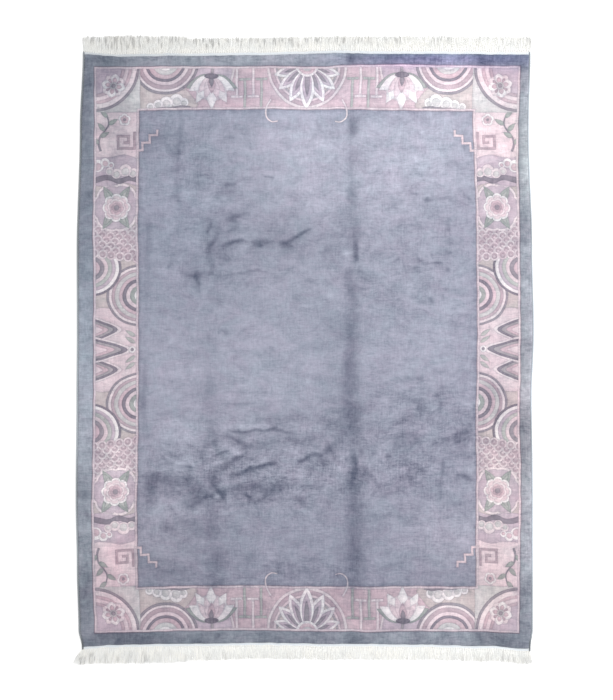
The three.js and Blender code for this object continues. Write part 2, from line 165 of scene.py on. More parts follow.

# Painted shade of folds, where the pile lies over and looks darker, or paler by painted light
# where the depth is negative. Each is a run of places: across, along, how far it spreads, depth of
# tone.
MARKS = (
    # The rumple across the upper left
    ((-505, 500, 8, 0.05), (-482, 518, 11, 0.36), (-462, 542, 10, 0.34), (-440, 585, 9, 0.06)),
    ((-440, 528, 6, 0.10), (-402, 540, 8, 0.30), (-366, 547, 10, 0.46), (-318, 552, 7, 0.34),
     (-290, 547, 4, 0.12), (-262, 546, 4, 0.12)),
    ((-264, 544, 9, 0.20), (-238, 538, 15, 0.46), (-212, 542, 13, 0.46), (-165, 552, 6, 0.14)),
    ((-150, 548, 9, 0.06), (-112, 545, 13, 0.28), (-88, 540, 17, 0.44), (-50, 523, 6, 0.14)),
    ((-100, 550, 7, 0.24), (-66, 562, 8, 0.40), (-34, 582, 8, 0.48), (0, 601, 7, 0.46),
     (24, 613, 6, 0.12)),
    ((-482, 500, 9, 0.16), (-492, 468, 11, 0.10), (-478, 440, 10, 0.24), (-462, 415, 7, 0.10)),
    ((-470, 485, 20, 0.08), (-425, 470, 20, 0.12), (-380, 462, 9, 0.10), (-225, 456, 5, 0.06)),
    ((-440, 610, 16, 0.07), (-450, 575, 18, 0.10), (-455, 545, 14, 0.08)),
    ((-350, 515, 20, -0.05), (-280, 520, 18, -0.06), (-160, 505, 20, -0.04)),
    ((-395, 388, 5, 0.10), (-340, 396, 5, 0.20), (-290, 405, 6, 0.24), (-240, 408, 5, 0.14),
     (-195, 400, 4, 0.08)),
    ((-702, 415, 7, 0.12), (-670, 446, 5, 0.06)),
    ((-645, 395, 7, 0.06), (-605, 379, 8, 0.18), (-560, 377, 8, 0.18), (-500, 382, 8, 0.12),
     (-420, 378, 9, 0.12), (-395, 380, 6, 0.06)),
    ((-550, 408, 11, 0.14), (-551, 372, 14, 0.32), (-545, 335, 11, 0.26), (-536, 298, 12, 0.14)),
    ((-405, 664, 9, 0.12), (-368, 672, 12, 0.32), (-328, 683, 8, 0.24), (-285, 688, 5, 0.06)),
    ((-388, 652, 8, 0.10), (-366, 656, 9, 0.16), (-340, 648, 8, 0.06)),
    ((-388, 610, 8, 0.14), (-352, 619, 9, 0.14)),
    ((-478, 655, 7, 0.10), (-484, 627, 8, 0.26), (-496, 592, 5, 0.16)),
    ((-402, 838, 7, 0.14), (-368, 843, 6, 0.22), (-340, 850, 4, 0.14), (-262, 874, 4, 0.10)),
    ((-202, 879, 5, 0.24), (-164, 875, 6, 0.34)),
    ((-600, 866, 9, 0.08), (-548, 848, 13, 0.18), (-520, 856, 7, 0.08)),
    ((-800, 1082, 14, 0.10), (-762, 1076, 15, 0.18), (-700, 1088, 10, 0.06)),
    ((-400, 1078, 7, 0.10), (-365, 1078, 6, 0.10)),
    # The two long folds, from the far end to the near one, and the edge of the field
    ((-620, 1175, 9, 0.10), (-629, 1110, 13, 0.18), (-633, 1066, 13, 0.17), (-640, 985, 11, 0.12),
     (-648, 925, 13, 0.15), (-648, 880, 9, 0.10), (-652, 812, 17, 0.14), (-650, 730, 12, 0.05),
     (-640, 560, 12, 0.03)),
    ((-470, 400, 30, 0.03), (-462, 290, 30, 0.10), (-450, 235, 26, 0.07), (-475, 120, 28, 0.03),
     (-478, 30, 32, 0.11), (-480, -60, 28, 0.06), (-478, -150, 30, 0.10), (-478, -205, 32, 0.18),
     (-480, -270, 30, 0.09), (-480, -345, 32, 0.09), (-482, -425, 28, 0.16)),
    ((-478, -780, 40, 0.12), (-470, -860, 44, 0.16), (-462, -910, 46, 0.18), (-466, -990, 42, 0.09),
     (-462, -1055, 44, 0.20), (-456, -1130, 42, 0.16), (-450, -1200, 42, 0.14)),
    ((238, 1212, 17, 0.20), (242, 1165, 20, 0.26), (250, 1115, 24, 0.32), (240, 1070, 19, 0.14),
     (240, 1000, 22, 0.20), (238, 940, 20, 0.16), (240, 890, 18, 0.12), (242, 840, 18, 0.10),
     (241, 790, 26, 0.24), (242, 748, 26, 0.26), (240, 700, 24, 0.15), (250, 640, 22, 0.13),
     (253, 570, 21, 0.17), (254, 535, 11, 0.34), (256, 500, 9, 0.46), (259, 466, 9, 0.54),
     (258, 450, 11, 0.24)),
    ((205, 396, 12, 0.10), (230, 397, 15, 0.20), (255, 401, 10, 0.10), (280, 399, 13, 0.18),
     (298, 395, 9, 0.08)),
    ((234, 352, 24, 0.14), (232, 300, 25, 0.18), (244, 250, 20, 0.18), (240, 200, 24, 0.13),
     (238, 145, 38, 0.22), (232, 90, 34, 0.18), (228, 20, 28, 0.18), (224, -45, 28, 0.24),
     (228, -120, 32, 0.26), (226, -180, 36, 0.24), (226, -240, 38, 0.24), (232, -300, 36, 0.32),
     (243, -335, 32, 0.36), (234, -390, 48, 0.20), (236, -450, 24, 0.12), (240, -520, 18, 0.10)),
    ((257, -532, 8, 0.30), (259, -560, 12, 0.56), (258, -600, 12, 0.52), (252, -632, 13, 0.48),
     (240, -660, 14, 0.38), (226, -682, 22, 0.16)),
    ((246, -705, 28, 0.22), (248, -770, 36, 0.22), (254, -850, 42, 0.20), (258, -925, 48, 0.23),
     (252, -1010, 48, 0.25), (256, -1090, 44, 0.25), (254, -1150, 38, 0.26), (250, -1200, 36, 0.22)),
    ((222, 300, 40, 0.03), (236, 60, 44, 0.05), (258, -240, 48, 0.04), (262, -420, 44, 0.06),
     (268, -720, 40, 0.05), (250, -960, 36, 0.02)),
    ((284, 500, 12, -0.05), (218, 494, 12, -0.12), (222, 474, 8, -0.10)),
    ((212, -545, 12, -0.12), (175, -572, 26, -0.12), (195, -618, 18, -0.07)),
    ((-700, -826, 22, -0.10), (-640, -828, 22, -0.11), (-427, -826, 16, -0.10)),
    ((-560, -392, 14, -0.10), (-520, -390, 13, -0.10)),
    ((700, -384, 14, -0.08), (745, -378, 16, -0.12)),
    ((-160, -352, 14, -0.06), (-110, -348, 16, -0.09)),
    ((-20, -650, 14, -0.08), (30, -660, 15, -0.09)),
    ((-200, -1010, 30, -0.08), (-150, -1022, 30, -0.06)),
    ((-10, -396, 12, -0.08), (40, -396, 14, -0.08)),
    ((-800, 660, 14, 0.08), (-796, 500, 17, 0.13), (-798, 330, 14, 0.06), (-812, 0, 14, 0.05),
     (-812, -190, 14, 0.18), (-814, -300, 15, 0.13), (-812, -430, 16, 0.10)),
    # On the plain band
    ((-548, 1496, 9, 0.12), (-540, 1462, 8, 0.18)),
    ((-372, 1492, 10, 0.14), (-350, 1470, 9, 0.14)),
    ((238, 1500, 10, 0.16), (243, 1460, 12, 0.20)),
    ((334, 1486, 9, 0.10), (356, 1472, 9, 0.14)),
    ((468, 1496, 12, 0.12), (500, 1482, 10, 0.10)),
    ((596, 1494, 14, 0.10), (640, 1488, 12, 0.08)),
    ((808, 1500, 7, 0.10), (812, 1466, 7, 0.12)),
    ((880, 1500, 13, 0.26), (905, 1484, 13, 0.26)),
    ((980, 1480, 10, 0.12), (1010, 1470, 10, 0.12)),
    ((-962, -1488, 9, 0.16), (-942, -1476, 9, 0.20)),
    ((-838, -1478, 10, 0.10), (-826, -1470, 10, 0.14)),
    ((-455, -1462, 8, 0.16), (-436, -1452, 9, 0.18)),
    ((-225, -1446, 12, 0.12), (-190, -1440, 10, 0.12)),
    ((240, -1460, 9, 0.16), (244, -1490, 9, 0.14)),
    ((560, -1440, 14, 0.10), (575, -1468, 12, 0.12)),
    ((890, -1450, 12, 0.16), (905, -1476, 10, 0.14)),
    ((985, -1462, 12, 0.10), (1010, -1480, 12, 0.12)),
    ((-1112, -722, 8, 0.14), (-1112, -742, 8, 0.14)),
    ((-1120, -812, 8, 0.12), (-1108, -840, 8, 0.14)),
    ((-1110, -1085, 9, 0.16), (-1112, -1100, 9, 0.16)),
    ((-1106, -1150, 8, 0.14), (-1108, -1200, 8, 0.12)),
    ((-1112, -1226, 8, 0.14), (-1108, -1240, 8, 0.14)),
    ((1120, 668, 12, 0.16), (1118, 650, 12, 0.14)),
    ((1125, 560, 14, 0.14), (1110, 548, 12, 0.14)),
    ((1096, -395, 12, 0.24), (1112, -410, 10, 0.14)),
    ((1122, -530, 8, 0.12), (1120, -545, 8, 0.12)),
    ((1115, -1228, 12, 0.14), (1112, -1246, 12, 0.12)),
    # Right side, above the middle
    ((595, 760, 9, 0.08), (620, 762, 13, 0.26), (655, 764, 11, 0.12), (720, 766, 12, 0.12),
     (770, 752, 7, 0.12), (832, 738, 5, 0.08)),
    ((800, 796, 11, 0.12), (836, 770, 10, 0.14)),
    ((540, 793, 5, 0.12), (574, 793, 6, 0.20)),
    ((530, 640, 7, 0.06), (560, 628, 8, 0.14), (614, 621, 12, 0.16)),
    ((735, 665, 5, 0.12), (722, 620, 10, 0.14), (735, 585, 5, 0.10), (736, 490, 5, 0.10)),
    ((560, 478, 7, 0.12), (585, 452, 9, 0.16), (604, 436, 9, 0.20), (640, 444, 7, 0.20),
     (668, 446, 8, 0.36), (700, 446, 6, 0.18)),
    ((575, 440, 8, 0.10), (560, 410, 9, 0.14), (590, 398, 7, 0.06)),
    ((690, 482, 6, 0.06), (722, 494, 9, 0.20), (744, 500, 6, 0.08)),
    ((725, 412, 8, 0.26), (734, 406, 7, 0.12)),
    ((510, 520, 16, 0.07), (535, 500, 24, 0.10), (560, 470, 18, 0.08)),
    ((644, 262, 9, 0.16), (650, 242, 9, 0.20)),
    ((478, 925, 11, 0.10), (470, 905, 12, 0.12)),
    ((62, 1162, 11, 0.10), (74, 1136, 12, 0.14)),
    ((8, 352, 8, 0.16), (34, 350, 9, 0.16)),
    ((80, 498, 13, 0.12), (128, 508, 12, 0.12)),
    ((112, 470, 9, 0.06), (150, 445, 8, 0.10)),
    ((802, 600, 8, 0.08), (800, 562, 10, 0.14)),
    ((180, 492, 9, 0.10), (192, 468, 10, 0.10)),
    ((405, 982, 12, 0.08), (432, 976, 12, 0.10)),
    ((676, 288, 11, 0.10), (694, 278, 10, 0.10)),
    # Across the middle
    ((-420, 103, 7, 0.14), (-390, 92, 9, 0.18)),
    ((-195, 12, 12, 0.10), (-174, 6, 9, 0.18)),
    ((-400, -212, 4, 0.08), (-300, -213, 5, 0.12), (-205, -216, 4, 0.08)),
    ((-400, -275, 4, 0.10), (-340, -274, 5, 0.12), (-265, -272, 5, 0.10)),
    ((-245, -345, 12, 0.12), (-170, -352, 14, 0.18), (-20, -330, 14, 0.14)),
    ((520, -140, 8, 0.10), (580, -140, 9, 0.16)),
    ((700, -188, 8, 0.12), (756, -190, 7, 0.14)),
    ((560, -255, 12, 0.14), (592, -262, 12, 0.16), (580, -300, 14, 0.16), (590, -345, 9, 0.10)),
    ((682, -255, 9, 0.16), (690, -300, 12, 0.14), (684, -335, 9, 0.10)),
    ((60, -352, 16, 0.10), (160, -368, 18, 0.14)),
    ((806, -165, 9, 0.10), (805, -205, 10, 0.12)),
    ((725, -322, 13, 0.10), (760, -318, 12, 0.10)),
    ((-635, -350, 12, 0.10), (-595, -350, 12, 0.12)),
    # The rumple across the lower left
    ((-460, -390, 9, -0.05), (-330, -384, 10, -0.10), (-180, -388, 9, -0.08)),
    ((-392, -412, 4, 0.12), (-350, -412, 6, 0.34), (-290, -411, 5, 0.34), (-245, -404, 7, 0.30),
     (-205, -412, 5, 0.28), (-162, -404, 9, 0.34), (-132, -412, 7, 0.26), (-80, -424, 5, 0.22),
     (-20, -428, 5, 0.12)),
    ((-462, -432, 5, 0.12), (-405, -440, 7, 0.22), (-358, -450, 10, 0.30), (-320, -474, 14, 0.40),
     (-300, -492, 13, 0.28), (-240, -486, 12, 0.12), (-150, -470, 14, 0.12), (-60, -446, 16, 0.12)),
    ((-458, -466, 9, 0.28), (-474, -478, 13, 0.36), (-490, -486, 12, 0.20), (-512, -500, 17, 0.18),
     (-530, -534, 15, 0.28), (-524, -560, 12, 0.16), (-530, -592, 13, 0.12)),
    ((-472, -535, 4, 0.16), (-430, -526, 5, 0.36), (-404, -515, 6, 0.40), (-384, -511, 4, 0.14)),
    ((-450, -572, 12, -0.10), (-425, -566, 10, -0.08)),
    ((-372, -512, 7, -0.10), (-352, -522, 13, -0.24), (-330, -520, 8, -0.10)),
    ((-318, -543, 9, 0.26), (-345, -550, 12, 0.52), (-366, -562, 14, 0.44), (-402, -585, 20, 0.28),
     (-440, -615, 24, 0.28), (-462, -650, 25, 0.34), (-468, -680, 21, 0.44), (-460, -704, 20, 0.44),
     (-432, -722, 16, 0.40), (-412, -752, 13, 0.26)),
    ((-318, -545, 13, 0.12), (-290, -540, 18, 0.12), (-255, -552, 18, 0.08)),
    ((-374, -640, 9, 0.32), (-346, -635, 10, 0.36), (-312, -620, 8, 0.48), (-280, -603, 9, 0.54),
     (-240, -593, 8, 0.54), (-205, -583, 8, 0.50), (-176, -573, 8, 0.46), (-145, -569, 6, 0.24)),
    ((-360, -600, 12, -0.06), (-250, -575, 9, -0.06), (-190, -625, 18, -0.05)),
    ((-405, -712, 14, 0.22), (-350, -704, 17, 0.32), (-290, -694, 18, 0.34), (-235, -690, 20, 0.34),
     (-185, -700, 18, 0.36), (-146, -694, 20, 0.38), (-108, -672, 15, 0.20)),
    ((-345, -735, 5, 0.14), (-308, -736, 5, 0.24), (-280, -748, 6, 0.28), (-255, -767, 5, 0.12)),
    ((-240, -765, 9, 0.20), (-206, -750, 9, 0.30), (-192, -733, 11, 0.42), (-208, -720, 9, 0.22)),
    ((-170, -762, 9, 0.14), (-100, -752, 9, 0.16), (-20, -762, 14, 0.16)),
    ((-522, -756, 13, 0.24), (-500, -746, 12, 0.30), (-478, -752, 9, 0.22)),
    ((-466, -730, 6, -0.10), (-446, -744, 8, -0.20), (-430, -754, 5, -0.08)),
    ((-546, -668, 12, 0.14), (-538, -696, 17, 0.30), (-545, -735, 19, 0.28), (-556, -770, 20, 0.28),
     (-578, -790, 18, 0.26), (-610, -778, 12, 0.12)),
    ((-772, -640, 14, 0.28), (-785, -683, 27, 0.32), (-780, -728, 27, 0.30), (-785, -765, 16, 0.16)),
    ((-740, -905, 14, 0.10), (-725, -924, 14, 0.16), (-700, -918, 13, 0.12)),
    ((-745, -652, 20, 0.24), (-690, -662, 28, 0.23), (-632, -668, 26, 0.20), (-570, -690, 24, 0.14)),
    ((-612, -586, 6, 0.18), (-584, -594, 8, 0.26), (-566, -600, 5, 0.08)),
    ((-600, -630, 12, 0.14), (-585, -652, 12, 0.16)),
    ((-700, -530, 11, 0.10), (-640, -531, 13, 0.14), (-575, -524, 13, 0.10)),
    ((-745, -590, 9, 0.07), (-690, -575, 9, 0.09), (-640, -592, 9, 0.07)),
    ((-690, -545, 8, -0.06), (-640, -568, 7, -0.09), (-560, -548, 10, -0.09)),
    ((-630, -880, 20, 0.07), (-570, -896, 24, 0.12), (-540, -910, 20, 0.07)),
    ((-702, -908, 12, 0.12), (-668, -918, 12, 0.12)),
    ((-370, -797, 10, 0.08), (-330, -797, 11, 0.12)),
    ((-285, -930, 12, 0.08), (-245, -928, 11, 0.10)),
    ((-335, -1081, 14, 0.10), (-295, -1081, 14, 0.12)),
    ((-740, -1116, 12, 0.10), (-660, -1130, 16, 0.14), (-580, -1098, 14, 0.12)),
    ((-275, -472, 11, 0.12), (-238, -470, 11, 0.12)),
    # and on towards the right
    ((-30, -566, 6, 0.34), (-5, -559, 7, 0.40), (25, -538, 7, 0.34), (50, -526, 9, 0.36),
     (78, -535, 9, 0.28)),
    ((460, -505, 18, 0.10), (490, -494, 16, 0.14), (520, -480, 14, 0.08)),
    ((590, -314, 18, 0.12), (618, -310, 16, 0.14)),
    ((798, -488, 10, 0.14), (822, -496, 9, 0.14)),
    ((300, -592, 12, 0.05), (335, -580, 12, 0.08)),
    ((88, -528, 12, 0.22), (106, -514, 14, 0.28), (124, -498, 15, 0.28), (145, -482, 15, 0.22),
     (178, -470, 15, 0.12)),
    ((78, -538, 14, 0.08), (108, -528, 20, 0.10), (128, -508, 16, 0.08)),
    ((-50, -470, 12, 0.14), (-16, -463, 12, 0.20), (30, -450, 12, 0.14), (80, -438, 16, 0.12)),
    ((60, -600, 8, 0.06), (84, -618, 12, 0.14), (120, -634, 5, 0.10), (210, -640, 4, 0.12)),
    ((-12, -692, 5, 0.14), (40, -692, 6, 0.16), (95, -686, 7, 0.12)),
    ((-25, -768, 14, 0.18), (-5, -752, 10, 0.08)),
    ((346, -520, 7, 0.18), (362, -528, 8, 0.10)),
    ((402, -552, 6, 0.12), (425, -548, 9, 0.26), (438, -540, 5, 0.10)),
    ((470, -470, 20, 0.12), (500, -440, 26, 0.14), (560, -450, 24, 0.12), (585, -480, 16, 0.08)),
    ((505, -648, 14, 0.12), (540, -660, 24, 0.16), (580, -672, 14, 0.10)),
    ((525, -772, 12, 0.08), (585, -772, 12, 0.12)),
    ((216, -438, 11, 0.10), (226, -460, 12, 0.12)),
    ((80, -643, 10, 0.10), (104, -648, 10, 0.10)),
    ((704, -545, 10, 0.16), (696, -600, 9, 0.18), (694, -640, 8, 0.16), (680, -700, 16, 0.10),
     (690, -752, 10, 0.14)),
    ((400, -738, 8, 0.16), (440, -728, 7, 0.12), (472, -712, 8, 0.18), (500, -720, 8, 0.08)),
    ((758, -632, 7, 0.14), (788, -640, 12, 0.32), (820, -648, 11, 0.28), (850, -664, 8, 0.16)),
    ((748, -442, 9, 0.14), (785, -434, 15, 0.26), (825, -418, 14, 0.25), (850, -402, 8, 0.14)),
    ((764, -472, 5, 0.22), (800, -464, 6, 0.26), (836, -442, 6, 0.20)),
    ((700, -790, 9, 0.10), (770, -782, 10, 0.14), (845, -772, 8, 0.12)),
)
MARK_CORE, MARK_SHADE = 0.78, 0.3  # a mark's depth close to its run, and in a wider shade
SHADE_WIDTH = 2.8  # how many times as wide that shade is
MARK_REACH = 7  # half widths from a mark to where it is no longer worked out
PAINTED_HIGHLIGHT = 0.16  # painted highlight: tone of the pale edge along a mark, as a share of the mark's own
HIGHLIGHT_PLACE, HIGHLIGHT_REACH = 2.0, 4  # half widths to the middle of that edge, and to its end

# Broad stretches of lighter or darker pile, partly painted light and shade of its lay and partly
# tone that differs at random, and of quieter or more mottled pile: the middle, how far across and
# along, tone, mottling
CLOUDS = (
    (-760, 1080, 170, 150, -0.14, 0.2),
    (-560, 900, 200, 260, -0.08, 0.4),
    (-20, 1070, 270, 220, 0.29, 0.0),
    (-150, -700, 650, 300, -0.02, 0.0),
    (560, 1010, 360, 240, 0.33, 0.3),
    (130, 780, 330, 130, 0.16, 0.1),
    (-420, 470, 140, 150, -0.05, 0.2),
    (-640, -430, 160, 65, 0.17, 0.0),
    (400, -560, 420, 120, -0.04, 0.3),
    (740, -390, 140, 120, -0.09, 0.4),
    (-480, -810, 130, 160, -0.08, 0.0),
    (480, 400, 400, 400, 0.02, 0.35),
    (-1120, 0, 60, 1400, 0.0, -0.5),
    (-450, 600, 420, 130, -0.09, 0.1),
    (150, 590, 300, 120, -0.07, 0.0),
    (-560, 380, 160, 120, -0.06, 0.1),
    (-700, -150, 240, 260, 0.13, 0.0),
    (-200, -120, 240, 200, 0.13, 0.0),
    (620, 60, 260, 160, 0.07, 0.0),
    (620, -330, 330, 150, -0.10, 0.7),
    (60, -430, 240, 100, -0.01, 0.3),
    (-350, -640, 480, 170, 0.0, 1.05),
    (560, -620, 260, 140, -0.08, 0.9),
    (160, -640, 220, 90, -0.05, 0.3),
    (720, -930, 180, 150, 0.14, 0.4),
    (-740, -900, 120, 90, 0.06, 0.2),
    (0, -1140, 800, 100, -0.12, 0.4),
    (-560, -470, 230, 150, 0.06, 0.1),
    (780, -180, 90, 260, 0.04, 0.0),
    (-660, 760, 160, 70, 0.07, 0.0),
    (-770, -1110, 110, 80, -0.19, 0.1),
    (740, -1130, 120, 80, -0.09, 0.0),
    (0, -840, 900, 420, 0.0, 0.25),
    (700, 1470, 420, 40, 0.0, 0.8),
    (-90, -930, 200, 110, -0.07, 0.0),
    (-100, 570, 130, 110, -0.05, 0.0),
    (420, 250, 110, 130, -0.06, 0.0),
    (-970, -700, 90, 260, 0.34, 0.0),
    (-970, 1120, 90, 330, -0.29, 0.1),
    (-1010, 1400, 140, 80, -0.38, 0.0),
    (970, -700, 90, 220, 0.18, 0.0),
    (970, -230, 90, 130, -0.16, 0.1),
    (1010, 1400, 120, 80, -0.10, 0.0),
    (-370, 1328, 210, 90, -0.18, 0.0),
    (730, 1328, 230, 90, 0.33, 0.0),
    (0, 1328, 180, 90, 0.06, 0.0),
    (-340, -1324, 230, 90, -0.20, 0.1),
    (250, -1324, 200, 90, -0.14, 0.0),
    (740, -1324, 200, 90, 0.32, 0.0),
)

# Tone of the plain band along each side: along the rug, left, right
SIDE_TONES = (
    (-1470, 0.84, 0.88),
    (-1250, 0.80, 0.97),
    (-1000, 1.12, 1.36),
    (-700, 0.98, 1.26),
    (-430, 1.36, 0.90),
    (-230, 1.29, 1.29),
    (0, 1.24, 1.10),
    (250, 1.10, 1.13),
    (470, 0.90, 1.08),
    (640, 0.82, 0.94),
    (880, 0.80, 1.27),
    (1150, 0.67, 1.20),
    (1300, 0.70, 1.22),
    (1470, 0.80, 0.80),
)
# and along each end: across the rug, far, near
END_TONES = (
    (-1130, 0.70, 0.60),
    (-900, 0.82, 0.61),
    (-700, 0.95, 0.66),
    (-500, 1.06, 0.77),
    (-300, 1.12, 0.88),
    (-110, 1.17, 0.75),
    (50, 1.08, 0.86),
    (180, 1.06, 0.92),
    (235, 0.74, 0.75),
    (330, 0.86, 0.92),
    (450, 0.58, 1.08),
    (560, 0.68, 0.88),
    (710, 0.86, 1.08),
    (800, 0.78, 1.04),
    (880, 0.60, 0.88),
    (1130, 0.47, 0.69),
)
BAND_MITRE = 120.0  # over which the tones of a side and an end run into each other at a corner
BAND_MOTTLING = 0.7
FAR_END_LIGHT = 0.07  # painted light: how much lighter the wool is at the far end, and darker at the near one
MARK_DEPTH = 1.7  # by how much the marks are deeper than written
DARKEST = 0.68  # the most by which the lay of the pile darkens it
MARK_SOFTNESS = 0.8  # by how much they are wider on each side
LEFT_RIM_LIGHT, RIGHT_RIM_LIGHT = 0.13, 0.26  # painted light: how much paler the pile's rounded shoulder is along the long edges
RIM_WIDTH = 16.0

# Casts of another hue over the pile: the middle, how far across and along, red, green, blue
CASTS = (
    (0, 1310, 850, 110, 0.97, 1.012, 1.05),
    (640, 1480, 420, 36, 1.07, 0.96, 1.32),
    (1040, 1480, 170, 60, 0.92, 0.99, 1.10),
    (620, 1503, 520, 13, 0.86, 1.0, 0.97),
    (560, 1450, 420, 12, 1.05, 0.98, 1.03),
    (-620, 700, 300, 480, 0.965, 1.01, 1.015),
    (-1120, 300, 60, 900, 0.97, 1.0, 1.04),
    (1120, -400, 60, 700, 1.05, 0.985, 0.96),
    (1120, 1000, 60, 300, 0.99, 1.01, 0.95),
    (100, 150, 500, 450, 0.995, 1.014, 1.008),
    (-740, -1000, 200, 200, 1.02, 0.995, 0.985),
    (-970, -1250, 110, 240, 1.02, 0.94, 0.95),
    (970, -1250, 110, 240, 0.98, 0.945, 0.915),
    (1010, 1400, 120, 80, 1.0, 0.95, 0.95),
    (970, -620, 110, 320, 1.02, 0.995, 0.965),
    (-970, 1180, 100, 320, 0.975, 1.012, 1.0),
    (740, -1000, 200, 200, 1.025, 0.99, 0.98),
)

# The border, in the middle of its lines
OUTER_X, OUTER_Y = 1078.0, 1434.0
INNER_X, INNER_Y = 862.0, 1218.0
GUARD = 5.0  # half width of a guard line
GUARD_SHADE = 9.0  # to the far side of the dark line that runs along a guard line

# How far the lines of the border stray: along the rug, left, right
SIDE_STRAY = (
    (-1430, 9, -2),
    (-1100, -1, 1),
    (-800, -6, 6),
    (-600, -1, 6),
    (-360, 2, -1),
    (-100, 4, 4),
    (100, 3, 5),
    (330, 5, 3),
    (620, 0, 0),
    (1000, 7, -7),
    (1117, 8, -6),
    (1440, 7, 4),
)
# and across the rug, far, near
END_STRAY = (
    (-1060, -11, -6),
    (-560, -7, 6),
    (-400, -9, 8),
    (-200, -6, 8),
    (-40, -9, 3),
    (90, -9, 3),
    (200, -2, 3),
    (320, 1, -2),
    (440, 2, 4),
    (850, -4, 2),
    (1080, -7, -6),
)
# How far the border's inner line runs out from where its width would put it: along the line, at
# the far end, on the right
INNER_STRAY = (
    (-1218, 2, 7),
    (-850, 4, 3),
    (-600, 7, 4),
    (-200, 10, 8),
    (100, 9, 9),
    (260, 3, 9),
    (420, -5, 8),
    (700, -4, 9),
    (900, -3, 5),
    (1218, -2, -6),
)
STRAY_X, STRAY_Y = 5.0, 8.0  # the border's middle, from the middle of the rug
HAND_WOBBLE = 1.5  # how far the lines of the design sway to a side
WOBBLES_ACROSS = (61, 240, 23)  # the distances over which lines along the rug sway to the sides
WOBBLES_ALONG = (57, 260, 26)  # and those over which lines across it sway

DYES = {
    "field": ("Field", "#9799aa"),
    "plain_band": ("Plain band", "#8d929e"),
    "guard": ("Guard line", "#d9cad2"),
    "guard_shade": ("Guard line's dark edge", "#a095a0"),
    "mauve": ("Mauve", "#b9a7b2"),
    "rose": ("Rose", "#c9b4be"),
    "petal": ("Petal pink", "#d8c7cf"),
    "blush": ("Blush", "#dfd2d8"),
    "ivory": ("Ivory", "#e7e0e4"),
    "greige": ("Greige", "#c0b5b8"),
    "silver": ("Silver grey", "#c8c4c8"),
    "lilac": ("Lilac", "#bfb1be"),
    "grey": ("Grey", "#a9a2aa"),
    "slate": ("Slate", "#98919c"),
    "shadow": ("Dark slate", "#8a8390"),
    "sage": ("Sage", "#b4b4b5"),
    "moss": ("Moss grey", "#a3a6a7"),
}
DYE_NAMES = list(DYES)


def linear(text):
    """The linear colour of a hex one."""
    shares = [int(text[k : k + 2], 16) / 255 for k in (1, 3, 5)]
    return tuple(s / 12.92 if s <= 0.04045 else ((s + 0.055) / 1.055) ** 2.4 for s in shares)


# ---------------------------------------------------------------- settings


def length_property(title, description, default, **limits):
    return FloatProperty(
        name=title,
        description=description,
        default=default,
        unit="LENGTH",
        subtype="DISTANCE",
        **limits,
    )


def count_property(title, description, default):
    return IntProperty(name=title, description=description, default=default, min=1)


class RugSizes(PropertyGroup):
    """Sizes that a maker would choose."""

    carve_depth: length_property(
        "Carving depth", "How deep the outlines are cut into the pile", 0.0024, min=0.0, max=0.006
    )
    carve_width: length_property(
        "Carving width", "From the bottom of a carved outline to the full pile beside it", 0.0045,
        min=0.001,
    )
    outline_step: length_property(
        "Outline step", "Longest straight run along a figure's outline", 0.012, min=0.004
    )
    pile_step: length_property(
        "Pile step", "Distance between points on the open pile", 0.027, min=0.008
    )
    wrap_pitch: length_property(
        "Overcast pitch", "Distance between turns of yarn round a selvedge", 0.0046, min=0.002
    )
    warp_pitch: length_property(
        "Warp pitch", "Distance between warps in the flat-woven ends", 0.0032, min=0.001
    )
    strand_width: length_property(
        "Strand width", "Thickness of a strand of the fringe", 0.0022, min=0.0005
    )
    tassels: count_property("Tassels", "Number of tassels along each end", 196)
    strands: count_property("Strands", "Number of strands in each tassel", 9)


def colour_property(title, colour, what):
    return FloatVectorProperty(
        name=title,
        description=f"Colour of the {what}",
        default=linear(colour),
        min=0.0,
        max=1.0,
        subtype="COLOR",
    )


class RugDyes(PropertyGroup):
    """Colours of the pile's wools, of the yarns at its edges and of the floor."""

    __annotations__ = {
        name: colour_property(title, colour, f"{title.lower()} in the pile")
        for name, (title, colour) in DYES.items()
    } | {
        "selvedge": colour_property("Selvedge", "#7d8287", "wool round the long edges"),
        "woven": colour_property("Woven ends", "#e9eef3", "cotton between pile and fringe"),
        "cotton": colour_property("Fringe", "#fdfdfa", "cotton of the fringe"),
        "floor": colour_property("Floor", "#f4f4f4", "floor under the rug"),
    }


# ---------------------------------------------------------------- places on the rug


def eased(share):
    """A share from 0 to 1 that starts and ends softly."""
    return share * share * (3 - 2 * share)


def along(table, column, at):
    """A column of a table at some places, eased from row to row."""
    rows = np.array(table, float)
    before = np.clip(np.searchsorted(rows[:, 0], at) - 1, 0, len(rows) - 2)
    start, end = rows[before, 0], rows[before + 1, 0]
    share = eased(np.clip((at - start) / (end - start), 0, 1))
    return rows[before, column] + (rows[before + 1, column] - rows[before, column]) * share


def rounded(table, inset):
    insets, heights = zip(*table)
    return np.interp(inset, insets, heights)


def left_edge(y):
    return -HALF_WIDTH + along(SIDES, 1, y)


def right_edge(y):
    return HALF_WIDTH - along(SIDES, 2, y)


def drift(x, y, size, seed):
    """Smooth random values from -1 to 1 over the rug, with a new one at every step of a size."""
    count = 64  # steps after which they come again
    lattice = np.random.default_rng(seed).uniform(-1, 1, (count, count))
    i, j = np.floor(x / size).astype(int), np.floor(y / size).astype(int)
    u, v = eased(x / size - i), eased(y / size - j)

    def row(k):
        return lattice[i % count, k % count] * (1 - u) + lattice[(i + 1) % count, k % count] * u

    return row(j) * (1 - v) + row(j + 1) * v


def uneven(start, x, y, *layers):
    """A value with random ones on top: each layer is how much, over what distance, and a seed."""
    for amount, size, seed in layers:
        start = start + amount * drift(x, y, size, seed)
    return start


def frayed(x, seed):
    """How far the last rows of knots run in and out."""
    return uneven(0, x, np.zeros(np.shape(x)), (1.3, 24, seed), (1.2, 60, seed + 1))


def far_end(x):
    return HALF_LENGTH + along(ENDS, 1, x) + frayed(x, 11)


def near_end(x):
    return -HALF_LENGTH - along(ENDS, 2, x) + frayed(x, 13)


